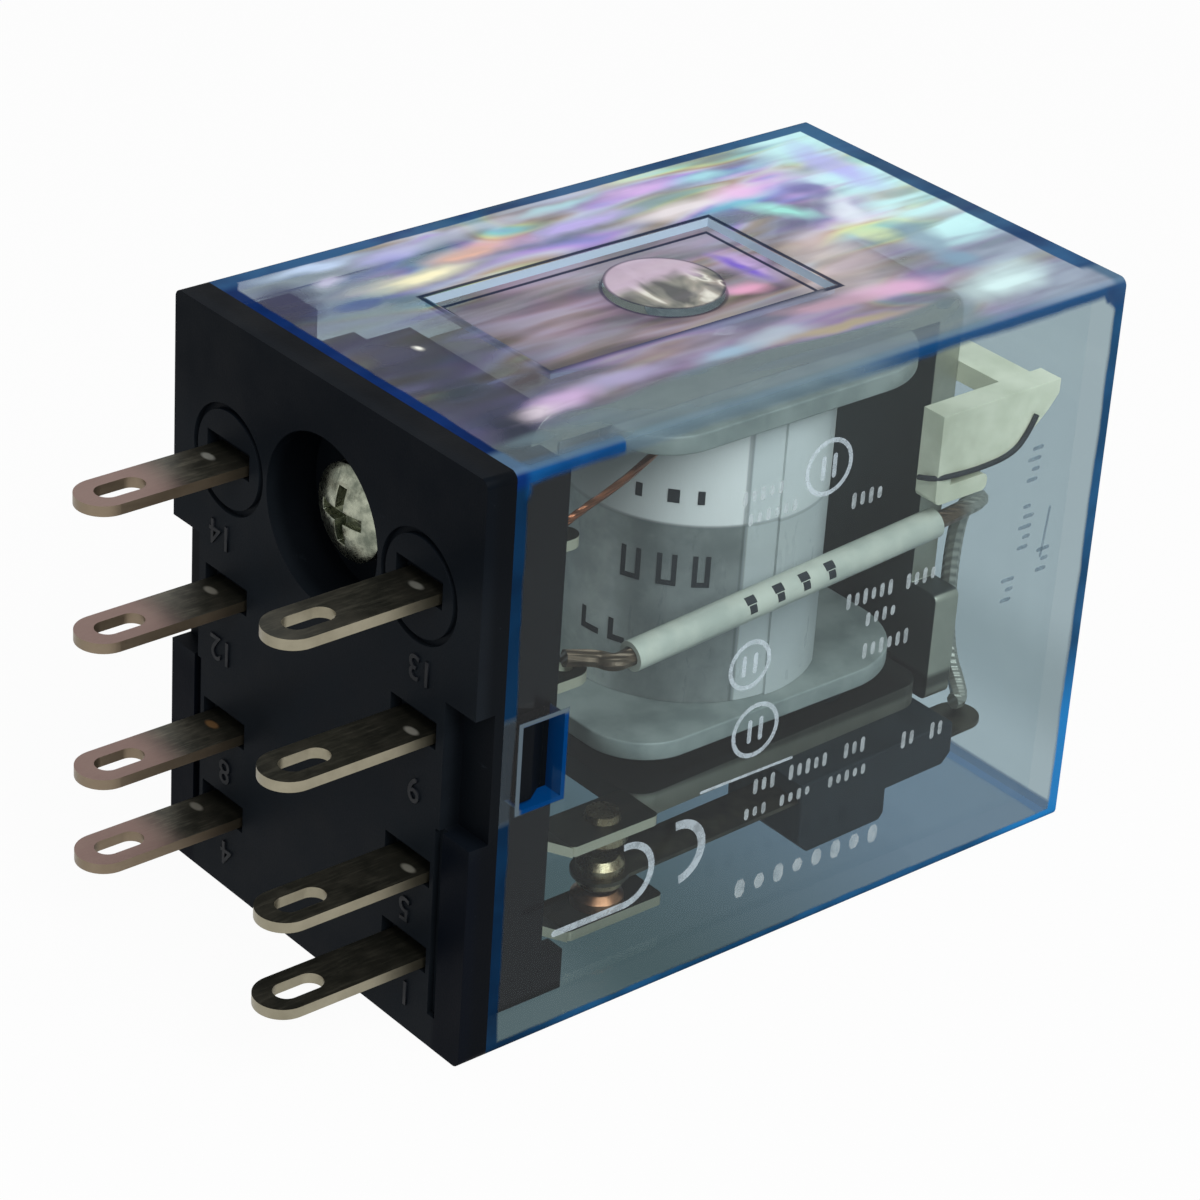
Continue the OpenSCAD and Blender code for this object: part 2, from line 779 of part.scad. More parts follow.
// Moulded block under the armature, which carries both moving springs
module spring_block() {
    end = leg_in - 0.25;
    front = end - block_l;
    top = armature_low - touch;
    low = top - block_t;
    heel_low = low - heel_t;
    heel_end = front + heel_l;
    color([0.08, 0.08, 0.09])
        swung()
            difference() {
                union() {
                    along_y(0, block_w)
                        polygon([[front, top], [end, top], [end, low + 0.5], [end - 0.5, low],
                            [heel_end, low], [heel_end, heel_low + 0.3], [heel_end - 0.3, heel_low],
                            [front + 0.6, heel_low], [front, heel_low + 0.6]]);
                    for (s = [-1, 1])
                        translate([end + 0.05 - block_l / 2, s * armature_w / 3, top - overlap])
                            cylinder(d = stud_d, h = armature_t + touch);
                }
                for (s = [-1, 1])
                    block([front - 1, s * column_y - spring_w / 2 - touch,
                        spring_z - spring_t / 2 - touch], [end + 1,
                        s * column_y + spring_w / 2 + touch, spring_z + spring_t / 2 + touch]);
                block([front - 1, -tongue_w / 2, heel_low - 1],
                    [front + block_l / 3, tongue_w / 2, top + 1]);
                for (x = [front + block_l * 0.41, front + block_l * 0.75])
                    block([x, -tongue_w / 2, heel_low - 1],
                        [x + block_l / 7, tongue_w / 2, low + block_t * 0.4]);
            }
}

// Moving spring: round contact end, straight leaf through the block, and a tail for the lead
module moving_spring(side) {
    low = spring_z - spring_t / 2;
    color([0.8, 0.7, 0.48])
        swung()
            translate([0, side * column_y, 0])
                along_z(low, low + spring_t)
                    difference() {
                        union() {
                            translate([contact_x, 0])
                                circle(d = moving_d + 0.5);
                            tongue(contact_x, tail_end, spring_w);
                        }
                        translate([contact_x, 0])
                            circle(d = shank_d + 2 * touch);
                    }
}

// Moving contact: one rivet with a head on each face of the spring
module moving_contact(side) {
    r = moving_d / 2;
    shank = shank_d / 2;
    inner = spring_t / 2 + touch;
    outer = moving_stack / 2;
    color([0.87, 0.74, 0.45])
        swung()
            translate([contact_x, side * column_y, spring_z])
                rotate_extrude()
                    polygon([[0, -outer], [r - 0.3, -outer], [r, 0.3 - outer], [r, -inner],
                        [shank, -inner], [shank, inner], [r, inner], [r, outer - 0.3],
                        [r - 0.3, outer], [0, outer]]);
}

// Return spring: open turns behind the far leg, with a bent end under the tongue and one
// on the bridge
module return_spring() {
    r = (return_d - return_wire) / 2;
    low = armature_low - 0.03 - return_wire / 2;
    high = bridge_low + bridge_t + touch + return_wire / 2;
    from = armature_top + 1;
    to = bridge_low - 0.6;
    per_turn = 14;
    steps = return_turns * per_turn;
    hook = 0.7;
    function ease(u) = u * u * (3 - 2 * u);
    function radius(i) = r * ease(min(1, i / per_turn, (steps - i) / per_turn));
    function angle(i) = 90 + 360 * i / per_turn;
    function out(a) = [cos(a), sin(a), 0];
    turns = [for (i = [0 : steps])
        radius(i) * out(angle(i)) + [0, 0, from + (to - from) * i / steps]];
    path = concat([[-hook, 0, low], [-0.15, 0, low], [0, 0, low + 0.15]], turns,
        [[0, 0, high - 0.15], [0.15, 0, high], [hook, 0, high]]);
    outs = concat([for (i = [0 : 2]) out(90)], [for (i = [0 : steps]) out(angle(i))],
        [for (i = [0 : 2]) out(angle(steps))]);
    color([0.7, 0.7, 0.72])
        translate([return_x, 0, 0])
            swept_wire(path, outs, return_wire, 6);
}

// Lead guide: a cheek beside each edge of the coil, joined by a bridge behind the far leg
module lead_guide() {
    cheek_y = room_w / 2 - guide_clear - guide_t / 2;
    color([0.85, 0.86, 0.78])
        difference() {
            union() {
                for (s = [-1, 1])
                    along_y(s * cheek_y, guide_t)
                        cheek_outline();
                along_y(0, 2 * cheek_y)
                    intersection() {
                        cheek_outline();
                        translate([leg_out + touch, bridge_low])
                            square([room_end - leg_out, bridge_t]);
                    }
            }
            translate([return_x, 0, bridge_low - 1])
                cylinder(d = return_wire + 0.4, h = bridge_t + 2);
        }
}

// Side outline of a cheek: its lower far corner swept up, and a lip on a neck below it
module cheek_outline() {
    front = leg_in - guide_reach;
    end = room_end - guide_end;
    sweep = guide_h * 1.9;
    turn = acos(1 - 0.78 * guide_h / sweep);
    lip_low = guide_rise - lip_gap - lip_t;
    function swept(a) = [end + sweep * (sin(a) - sin(turn)), guide_rise + sweep * (1 - cos(a))];
    polygon(concat([[front, guide_rise + guide_h], [front, guide_rise]],
        [for (i = [0 : 6]) swept(turn * i / 6)], [[end, guide_rise + guide_h]]));
    translate([front, lip_low + lip_t / 2])
        square([lip_t, lip_t / 2 + lip_gap + overlap]);
    translate([front + lip_l / 2, lip_low + lip_t / 2])
        round_rect(lip_l, lip_t, lip_t * 0.4);
}

// Flexible lead, from the common terminal's lug through its sleeve, behind the far leg's foot
// and down to the moving spring's tail
module lead_wire(side) {
    lug_x = base_top + 2.8;
    behind = leg_out + lead_d / 2 + 0.3;
    over_tail = spring_z + (spring_t + lead_d) / 2 + 4 * touch;
    down_y = side * (leg_w / 2 - lead_tuck);
    tail_y = side * (column_y - spring_w / 2 + 0.75);
    color([0.75, 0.5, 0.32])
        wire([[lug_x, side * column_y, common_row + (blade_t + lead_d) / 2 + touch],
            [lug_x + 1.4, side * (column_y + 0.4), sleeve_z - 0.1],
            sleeve_point(side, -0.9), sleeve_point(side, -0.1),
            sleeve_point(side, sleeve_run + 0.1), sleeve_point(side, sleeve_run + 0.7),
            [leg_out - 0.4, side * (sleeve_y - 0.5), sleeve_z + sleeve_rise],
            [behind, down_y, sleeve_z - 0.5],
            [behind, down_y, over_tail + 2.5],
            [behind, tail_y, over_tail],
            [leg_out + 0.1, tail_y, over_tail]], [0, 1, 0], lead_d);
}

// Sleeve over the straight run of a lead
module lead_sleeve(side) {
    tilt = atan(sleeve_rise / sleeve_run);
    length = sleeve_run / cos(tilt);
    color([0.86, 0.88, 0.8])
        translate(sleeve_point(side, 0))
            rotate([0, 90 - tilt, 0])
                difference() {
                    cylinder(d = sleeve_d, h = length);
                    translate([0, 0, -1])
                        cylinder(d = lead_d + 0.1, h = length + 2);
                }
}

base();
cover();
coil_terminal(-1);  // coil_terminal_13
coil_terminal(1);  // coil_terminal_14
common_terminal(-1);  // common_terminal_9
common_terminal(1);  // common_terminal_12
contact_terminal(-1, -open_row, open_bar, contact_x + open_reach);  // open_terminal_5
contact_terminal(1, -open_row, open_bar, contact_x + open_reach);  // open_terminal_8
contact_terminal(-1, -closed_row, closed_bar, contact_x + closed_reach);  // closed_terminal_1
contact_terminal(1, -closed_row, closed_bar, contact_x + closed_reach);  // closed_terminal_4
open_contact(-1);  // open_contact_5
open_contact(1);  // open_contact_8
closed_contact(-1);  // closed_contact_1
closed_contact(1);  // closed_contact_4
yoke();
yoke_screw();
core();
bobbin();
coil_winding();
coil_tape();
coil_lead(-1);  // coil_lead_13
coil_lead(1);  // coil_lead_14
armature();
spring_block();
moving_spring(-1);  // moving_spring_9
moving_spring(1);  // moving_spring_12
moving_contact(-1);  // moving_contact_9
moving_contact(1);  // moving_contact_12
return_spring();
lead_guide();
lead_wire(-1);  // lead_wire_9
lead_wire(1);  // lead_wire_12
lead_sleeve(-1);  // lead_sleeve_9
lead_sleeve(1);  // lead_sleeve_12
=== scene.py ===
"""Looks of the relay: a dark base with blades, a clear blue-edged cover, and the mechanism inside."""

import json
import math

import bmesh
import bpy
from mathutils import Matrix, Vector


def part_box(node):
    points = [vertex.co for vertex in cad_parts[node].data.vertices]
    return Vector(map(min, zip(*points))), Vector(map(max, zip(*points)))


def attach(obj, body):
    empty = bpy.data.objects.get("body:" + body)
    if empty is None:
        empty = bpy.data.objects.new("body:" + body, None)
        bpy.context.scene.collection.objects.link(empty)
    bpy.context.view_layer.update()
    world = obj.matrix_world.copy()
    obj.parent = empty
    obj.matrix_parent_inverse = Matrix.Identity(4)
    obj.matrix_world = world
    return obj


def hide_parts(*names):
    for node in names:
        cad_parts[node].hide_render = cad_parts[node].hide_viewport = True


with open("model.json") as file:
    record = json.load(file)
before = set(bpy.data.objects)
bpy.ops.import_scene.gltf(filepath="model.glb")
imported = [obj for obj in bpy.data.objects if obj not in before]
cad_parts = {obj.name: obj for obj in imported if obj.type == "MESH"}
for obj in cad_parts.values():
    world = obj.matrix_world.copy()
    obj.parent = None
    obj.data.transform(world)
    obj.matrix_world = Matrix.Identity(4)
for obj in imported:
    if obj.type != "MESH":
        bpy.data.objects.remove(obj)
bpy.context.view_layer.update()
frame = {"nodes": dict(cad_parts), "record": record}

MM = 0.001
NODES = frame["nodes"]
RECORD = frame["record"]
SCENE = bpy.context.scene
BODY_OF = {n: b for b, ns in RECORD["behaviour"]["bodies"].items() for n in ns}
SLOT_OF = {s["node"]: s["material_slot"] for s in RECORD["subparts"]}
X, Y, Z = Vector((1, 0, 0)), Vector((0, 1, 0)), Vector((0, 0, 1))


def box_mm(node):
    """The low and the high corner of a CAD node, in millimetres."""
    low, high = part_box(node)
    return low / MM, high / MM


COVER_LOW, COVER_HIGH = box_mm("cover")
COIL_LOW, COIL_HIGH = box_mm("coil_tape")
COIL_X = (COIL_LOW.x + COIL_HIGH.x) / 2


# Camera

# Direction of the view, then distance, shifts and the point aimed at in millimetres, then the lens
AZIMUTH, ELEVATION, ROLL = math.radians(-41.507), math.radians(28.821), math.radians(3.911)
DISTANCE, SHIFT_X, SHIFT_Y = 179.242, -1.803, -1.514
AIM = Vector((18, 0, 0))
FOCAL_PX, IMAGE_PX, SENSOR = 3977.6, 1200.0, 36.0


def aim_camera():
    """The camera fitted to the corners of the body in the photograph."""
    level = math.cos(ELEVATION)
    back = Vector((math.sin(AZIMUTH) * level, -math.cos(AZIMUTH) * level, math.sin(ELEVATION)))
    right = (-back).cross(Z).normalized()
    up = right.cross(-back)
    side = right * math.cos(ROLL) + up * math.sin(ROLL)
    top = up * math.cos(ROLL) - right * math.sin(ROLL)
    spot = (AIM + back * DISTANCE + side * SHIFT_X + top * SHIFT_Y) * MM
    data = bpy.data.cameras.new("photo_camera")
    data.sensor_width = SENSOR
    data.lens = FOCAL_PX / IMAGE_PX * SENSOR
    data.clip_start = 0.005
    data.clip_end = 10
    camera = bpy.data.objects.new("photo_camera", data)
    SCENE.collection.objects.link(camera)
    camera.matrix_world = Matrix((
        (side.x, top.x, back.x, spot.x),
        (side.y, top.y, back.y, spot.y),
        (side.z, top.z, back.z, spot.z),
        (0, 0, 0, 1)))
    SCENE.camera = camera


# Node helpers

WHITE = (1, 1, 1, 1)
# Values that a noise mostly keeps between
NOISE_RANGE = (0.3, 0.7)


def srgb(r, g, b):
    """A colour given in 0 to 255 as a linear RGBA value."""
    def one(c):
        c /= 255
        return c / 12.92 if c <= 0.04045 else ((c + 0.055) / 1.055) ** 2.4
    return (one(r), one(g), one(b), 1)


class NodeTree:
    """A node tree under construction, and the sums that its parts share."""

    def __init__(self, tree):
        self.tree = tree
        tree.nodes.clear()

    def add(self, kind, inputs=None, **settings):
        """A new node; each of its inputs takes a constant or the output of another node."""
        node = self.tree.nodes.new("ShaderNode" + kind)
        for key, value in settings.items():
            setattr(node, key, value)
        for key, value in (inputs or {}).items():
            if isinstance(value, bpy.types.NodeSocket):
                self.tree.links.new(value, node.inputs[key])
            else:
                node.inputs[key].default_value = value
        return node

    def num(self, op, a, b=0.0, c=0.0):
        return self.add("Math", {0: a, 1: b, 2: c}, operation=op).outputs[0]

    def times(self, first, *others):
        for other in others:
            first = self.num("MULTIPLY", first, other)
        return first

    def most(self, first, *others):
        for other in others:
            first = self.num("MAXIMUM", first, other)
        return first

    def least(self, first, *others):
        for other in others:
            first = self.num("MINIMUM", first, other)
        return first

    def plus(self, a, b):
        return self.num("ADD", a, b)

    def minus(self, a, b):
        return self.num("SUBTRACT", a, b)

    def scaled(self, value, factor, offset):
        """The value times the factor, plus the offset."""
        return self.num("MULTIPLY_ADD", value, factor, offset)

    def opposite(self, value):
        """1 where the value is 0, and 0 where it is 1."""
        return self.minus(1.0, value)

    def size(self, value):
        return self.num("ABSOLUTE", value)

    def away(self, value, centre):
        """The distance from the centre, to either side."""
        return self.size(self.minus(value, centre))

    def span(self, value, start, stop, low=0.0, high=1.0, kind="LINEAR"):
        """The value turned evenly into low at start and high at stop, and held beyond them."""
        inputs = {0: value, 1: start, 2: stop, 3: low, 4: high}
        return self.add("MapRange", inputs, interpolation_type=kind).outputs[0]

    def ease(self, value, start, stop, low=0.0, high=1.0):
        """The value turned smoothly into low at start and high at stop."""
        return self.span(value, start, stop, low, high, "SMOOTHSTEP")

    def vary(self, noise, low, high):
        """A noise turned evenly into values from low to high."""
        return self.span(noise, *NOISE_RANGE, low, high)


class Paint(NodeTree):
    """A material under construction. Places are in millimetres, in the row frame at rest."""

    def __init__(self, name):
        self.mat = bpy.data.materials.new(name)
        self.mat.use_nodes = True
        super().__init__(self.mat.node_tree)
        spots = self.add("TexCoord")
        scaled = {0: spots.outputs["Object"], 3: 1 / MM}
        self.spot = self.add("VectorMath", scaled, operation="SCALE").outputs[0]
        self.facing = spots.outputs["Normal"]

    def xyz(self, vector=None):
        return self.add("SeparateXYZ", {0: vector or self.spot}).outputs

    def vector(self, op, a, b):
        return self.add("VectorMath", {0: a, 1: b}, operation=op).outputs[0]

    def length(self, vector):
        return self.add("VectorMath", {0: vector}, operation="LENGTH").outputs["Value"]

    def noise(self, scale, detail=3.0, rough=0.55, stretch=(1, 1, 1), offset=(0, 0, 0), warp=0.0):
        """Soft clouds of values about 0.5; stretch and offset act on the place, and warp bends them."""
        spot = self.vector("ADD", self.vector("MULTIPLY", self.spot, stretch), offset)
        inputs = {"Vector": spot, "Scale": scale, "Detail": detail, "Roughness": rough, "Distortion": warp}
        return self.add("TexNoise", inputs).outputs[0]

    def noise_colour(self, scale, detail=3.0, rough=0.55):
        inputs = {"Vector": self.spot, "Scale": scale, "Detail": detail, "Roughness": rough}
        return self.add("TexNoise", inputs).outputs["Color"]

    def mix(self, factor, a, b, mode="MIX"):
        return self.add("Mix", {0: factor, 6: a, 7: b}, data_type="RGBA", blend_type=mode).outputs[2]

    def ramp(self, value, stops):
        """A colour from the value, by stops of value and colour."""
        node = self.add("ValToRGB", {0: value})
        band = node.color_ramp
        while len(band.elements) < len(stops):
            band.elements.new(0.5)
        for element, (where, colour) in zip(band.elements, stops):
            element.position = where
            element.color = colour
        return node.outputs[0]

    def bump(self, height, depth, strength=1.0):
        """A relief of that depth in millimetres."""
        return self.add("Bump", {"Height": height, "Distance": depth * MM, "Strength": strength}).outputs[0]

    def shade(self, colour, rough, normal=None, **extra):
        """A surface; a constant in extra goes straight onto the shader's own socket."""
        inputs = {"Base Color": colour, "Roughness": rough}
        inputs.update({k.replace("_", " "): v for k, v in extra.items()})
        if normal is not None:
            inputs["Normal"] = normal
        return self.add("BsdfPrincipled", inputs).outputs[0]

    def matt(self, colour):
        return self.add("BsdfDiffuse", {"Color": colour}).outputs[0]

    def clear(self, colour=WHITE):
        return self.add("BsdfTransparent", {"Color": colour}).outputs[0]

    def both(self, factor, a, b):
        """Surface a at factor 0, and surface b at factor 1."""
        return self.add("MixShader", {0: factor, 1: a, 2: b}).outputs[0]

    def done(self, shader):
        self.add("OutputMaterial", {"Surface": shader})
        return self.mat


def viewed(nodes):
    """1 for rays that see a surface directly, mirrored or through clear plastic."""
    path = nodes.add("LightPath").outputs
    return nodes.most(path["Is Camera Ray"], path["Is Glossy Ray"], path["Is Transmission Ray"])


# Materials of the base, the inner parts and the print

# Height from which the tape is lighter, and the stretch of its lapped end round the coil, in radians
TAPE_BAND_Z = 4.4
LAP_START, LAP_STOP = -1.90, -0.94
# Pitch of the turns of wire in the coil; slope and closeness of the strands in the leads
TURN_PITCH = 0.16
STRAND_SLOPE, STRAND_RATE = 1.6, 9.0

# Painted highlights at the blades' roots: x, y, z, colour
ROOT_PAINTED_GLINTS = (
    (-0.8, 7.05, 7.75, (196, 196, 186)),
    (-0.6, 7.0, 1.2, (190, 186, 172)),
    (-0.5, 6.9, -5.55, (168, 128, 84)),
    (-1.0, 7.3, -9.85, (182, 178, 164)),
    (-0.3, -6.9, 7.75, (176, 176, 166)),
    (-0.55, -7.3, 1.2, (196, 194, 182)),
    (-0.4, -7.3, -5.55, (186, 184, 170)))


def base_plastic():
    """Near-black moulded plastic with faint scuffs; darker towards the top and in the lower side strips;
    painted shade makes it blacker in its recesses past the seating face.
    """
    p = Paint("base_plastic")
    x, y, z = p.xyz()
    cloud = p.noise(0.35, 3)
    colour = p.mix(cloud, srgb(12, 15, 19), srgb(21, 26, 31))
    colour = p.mix(p.ease(z, 7, 11, 0, 0.85), colour, srgb(3, 7, 13))
    strip = p.times(p.ease(p.size(y), 8.7, 9.1), p.ease(z, -2, -4), 0.85)
    colour = p.mix(strip, colour, srgb(1, 4, 12))
    # painted shade: blacker past the seating face, in the recesses and inside the cover
    colour = p.mix(p.ease(x, 0.2, 0.9, 0, 0.7), colour, srgb(4, 6, 9))
    scuff = p.ease(p.noise(1.6, 6, 0.7, stretch=(1, 0.35, 1)), 0.64, 0.78, 0, 0.22)
    colour = p.mix(scuff, colour, srgb(58, 66, 74))
    grain = p.bump(p.noise(9, 4, 0.6), 0.02, 0.35)
    return p.done(p.shade(colour, p.vary(cloud, 0.46, 0.6), grain, Specular_IOR_Level=0.03))


def block_plastic():
    """Black moulded plastic with a faint clouding."""
    p = Paint("block_plastic")
    cloud = p.noise(0.5, 3)
    colour = p.mix(cloud, srgb(14, 22, 27), srgb(34, 44, 50))
    grain = p.bump(p.noise(8, 4, 0.6), 0.015, 0.4)
    return p.done(p.shade(colour, p.vary(cloud, 0.38, 0.52), grain, Specular_IOR_Level=0.2))


def pale_plastic(name, low, high, gloss=(0.36, 0.5), fleck_and_glint=(150, 140, 120), lean=None):
    """Cream or off-white moulded plastic with faint clouding and handling marks.

    With lean, painted light scales the colour along x: start, stop, scale at the start, scale at the stop.
    """
    p = Paint(name)
    cloud = p.noise(0.5, 4)
    colour = p.mix(p.ease(cloud, *NOISE_RANGE), srgb(*low), srgb(*high))
    if lean:
        # painted light: the colour scaled lighter or darker along x
        scale = p.span(p.xyz()[0], *lean)
        grey = p.add("CombineXYZ", {0: scale, 1: scale, 2: scale}).outputs[0]
        colour = p.mix(1.0, colour, grey, "MULTIPLY")
    mark = p.ease(p.noise(1.7, 5, 0.7), 0.66, 0.78, 0, 0.3)
    colour = p.mix(mark, colour, srgb(*fleck_and_glint))
    grain = p.bump(p.noise(7, 4, 0.6), 0.012, 0.4)
    return p.done(p.shade(colour, p.vary(cloud, *gloss), grain))


def blade_metal():
    """Nickel-plated strip: dull rolled faces, darker towards the roots, painted highlights at the roots and
    a painted pink reflection towards the far tips, paler sheared edges.
    """
    p = Paint("blade_metal")
    x, y, z = p.xyz()
    edge = p.ease(p.size(p.xyz(p.facing)[2]), 0.75, 0.35)
    streak = p.noise(3.2, 5, 0.65, stretch=(0.25, 2.2, 2.2))
    cloud = p.noise(0.7, 4, 0.6)
    face = p.mix(p.ease(cloud, 0.3, 0.72), srgb(50, 50, 43), srgb(84, 81, 71))
    face = p.mix(p.ease(streak, 0.45, 0.75, 0, 0.35), face, srgb(140, 136, 120))
    # painted reflection: pink towards the tips of the far column
    painted_pink_reflection = p.times(p.ease(y, -2, 2), p.ease(x, -2.4, -4.4, 0, 0.7))
    face = p.mix(painted_pink_reflection, face, srgb(140, 112, 105))
    face = p.mix(p.ease(x, -2.0, 0.4, 0, 0.7), face, srgb(24, 26, 22))
    near_root = p.times(p.ease(y, 1, -1, 0, 0.5), p.ease(x, 0, -0.5))
    face = p.mix(near_root, face, srgb(38, 39, 34))
    rim = p.mix(cloud, srgb(118, 112, 94), srgb(162, 156, 136))
    rim = p.mix(p.ease(y, -1, 1, 0, 0.6), rim, srgb(116, 94, 76))
    rim = p.mix(p.ease(x, -2.4, 0.2, 0, 0.8), rim, srgb(60, 58, 48))
    rim = p.mix(p.ease(x, 3.0, 4.5), rim, srgb(206, 200, 176))
    colour = p.mix(edge, face, rim)
    # painted highlights: a bright spot at each root
    for glint_x, glint_y, glint_z, glint in ROOT_PAINTED_GLINTS:
        gap = p.vector("SUBTRACT", p.spot, (glint_x, glint_y, glint_z))
        reach = p.length(p.vector("MULTIPLY", gap, (2.2, 1.2, 2.0)))
        colour = p.mix(p.ease(reach, 0.62, 0.3, 0, 0.9), colour, srgb(*glint))
    rough = p.span(streak, 0.2, 0.8, 0.3, 0.48)
    return p.done(p.shade(colour, rough, p.bump(streak, 0.01, 0.5), Metallic=0.85))


def plated(name, low, high, rough=(0.25, 0.4), scale=0.8, stain=None, stretch=(1, 1, 1)):
    """Plated or bare metal with clouding, faint scratches and an optional stain."""
    p = Paint(name)
    cloud = p.noise(scale, 4, 0.6)
    fine = p.noise(6, 5, 0.7, stretch=stretch)
    colour = p.mix(p.ease(cloud, *NOISE_RANGE), srgb(*low), srgb(*high))
    if stain:
        colour = p.mix(p.ease(p.noise(1.3, 5, 0.7), 0.52, 0.7, 0, 0.75), colour, srgb(*stain))
    return p.done(p.shade(colour, p.vary(fine, *rough), p.bump(fine, 0.008, 0.5), Metallic=1.0))


def yoke_steel():
    """Zinc-plated steel: rolled faces painted dark as shade, less so on the far leg; upper faces painted
    lighter as light; a band of painted shade under the coil; paler sheared edges.
    """
    p = Paint("yoke_steel")
    x, y, z = p.xyz()
    nx, ny, nz = p.xyz(p.facing)
    cloud = p.noise(0.8, 4, 0.6)
    fine = p.noise(6, 5, 0.7, stretch=(0.3, 2, 2))
    # painted shade: the rolled faces dark as in the shade of the coil, lighter on the far leg
    rolled = p.mix(p.ease(cloud, *NOISE_RANGE), srgb(26, 28, 28), srgb(46, 48, 45))
    rolled = p.mix(p.ease(x, 29.5, 30.5, 0, 0.6), rolled, srgb(74, 82, 80))
    sheared = p.mix(cloud, srgb(138, 142, 130), srgb(182, 184, 168))
    # painted light: the upper faces lighter
    top = p.mix(cloud, srgb(120, 116, 108), srgb(158, 152, 140))
    colour = p.mix(p.ease(p.size(ny), 0.4, 0.7), rolled, sheared)
    colour = p.mix(p.times(p.ease(nz, 0.5, 0.8), p.ease(z, 11, 11.8)), colour, top)
    # painted shade: a dark band under the bobbin's lower flange
    low = p.times(p.ease(z, -6.9, -7.3), p.ease(z, -7.95, -7.6, 0.55, 1), 0.85)
    colour = p.mix(low, colour, srgb(34, 34, 32))
    rough = p.vary(fine, 0.34, 0.5)
    return p.done(p.shade(colour, rough, p.bump(fine, 0.008, 0.5), Metallic=0.6))


def coil_copper():
    """Enamelled wire: the fine turns of the coil as a relief."""
    p = Paint("coil_copper")
    turns = p.num("SINE", p.times(p.xyz()[2], 2 * math.pi / TURN_PITCH))
    cloud = p.noise(0.6, 3)
    colour = p.mix(cloud, srgb(112, 66, 46), srgb(160, 100, 70))
    rough = p.vary(cloud, 0.24, 0.38)
    return p.done(p.shade(colour, rough, p.bump(turns, 0.04, 0.7), Metallic=0.9))


def lead_copper():
    """Fine stranded copper gone brown, paler at its far end: a diagonal lay of strands."""
    p = Paint("lead_copper")
    x, y, z = p.xyz()
    slant = p.plus(x, p.times(p.plus(y, z), STRAND_SLOPE))
    lay = p.num("SINE", p.times(slant, STRAND_RATE))
    cloud = p.noise(1.2, 4)
    colour = p.mix(cloud, srgb(72, 62, 52), srgb(122, 104, 84))
    colour = p.mix(p.ease(x, 29.5, 31, 0, 0.85), colour, srgb(164, 168, 158))
    return p.done(p.shade(colour, p.vary(cloud, 0.34, 0.5), p.bump(lay, 0.05, 0.6), Metallic=0.6))


def tape_film():
    """Milky polyester tape over the coil: a paler lapped end, a light upper band, creases, and painted
    light that lightens the lower part on the side towards the base and darkens the rest of it.
    """
    p = Paint("tape_film")
    x, y, z = p.xyz()
    around = p.num("ARCTAN2", y, p.minus(x, COIL_X))
    cloud = p.noise(0.5, 4, 0.6)
    crease = p.noise(1.1, 5, 0.65, stretch=(1, 1, 0.25))
    band = p.ease(z, TAPE_BAND_Z - 0.1, TAPE_BAND_Z + 0.1)
    colour = p.mix(p.ease(cloud, *NOISE_RANGE), srgb(136, 143, 141), srgb(164, 170, 167))
    colour = p.mix(p.times(band, 0.92), colour, srgb(242, 244, 240))
    # painted light: below the band, lighter on the side towards the base and darker elsewhere
    painted_light_side = p.minus(p.times(y, 0.66), p.times(p.minus(x, COIL_X), 0.75))
    turned = p.mix(p.ease(painted_light_side, 2.0, 4.4), (0.7, 0.7, 0.7, 1), (2.2, 2.12, 2.08, 1))
    turned = p.mix(band, turned, (1.08, 1.06, 1.06, 1))
    colour = p.mix(1.0, colour, turned, "MULTIPLY")
    begun = p.ease(around, LAP_START - 0.01, LAP_START + 0.01)
    lap = p.times(begun, p.ease(around, LAP_STOP + 0.01, LAP_STOP - 0.01), 0.75)
    colour = p.mix(lap, colour, srgb(206, 212, 210))
    seam = p.away(around, LAP_START)
    colour = p.mix(p.ease(seam, 0.03, 0.012, 0, 0.5), colour, srgb(70, 78, 80))
    step = p.away(z, TAPE_BAND_Z)
    colour = p.mix(p.ease(step, 0.12, 0.05, 0, 0.35), colour, srgb(80, 86, 86))
    return p.done(p.shade(colour, p.vary(crease, 0.24, 0.4), p.bump(crease, 0.05, 0.4)))


def paint_film(name, colour, share):
    """Thin printed paint that lets part of what is behind it through."""
    p = Paint(name)
    wear = p.ease(p.noise(2.2, 5, 0.7), 0.3, 0.62, share * 0.5, share)
    darker = [c - 14 for c in colour]
    tone = p.mix(p.noise(1.1, 3), srgb(*darker), srgb(*colour))
    film = p.shade(tone, p.vary(p.noise(5, 3), 0.5, 0.7))
    return p.done(p.both(wear, p.clear(), film))


def dull_dark(name, low, high):
    """Dark ink, relief or wire with a faint sheen."""
    p = Paint(name)
    cloud = p.noise(1.4, 4)
    colour = p.mix(cloud, srgb(*low), srgb(*high))
    grain = p.bump(p.noise(8, 3), 0.01, 0.4)
    return p.done(p.shade(colour, p.vary(cloud, 0.4, 0.6), grain, Specular_IOR_Level=0.15))


# The clear cover

# The sunk panel, the round stub, the latch windows and the notches that its paint follows
PANEL_X, PANEL_HALF_X, PANEL_HALF_Y = 16.4, 8.0, 4.25
STUB_X, STUB_RADIUS, STUB_TOP = 18.2, 2.72, 13.95
WINDOW_X, WINDOW_HALF_X, WINDOW_HALF_Z = 3.65, 1.1, 2.0
NOTCH_Z, NOTCH_REACH = 0.1, 2.7
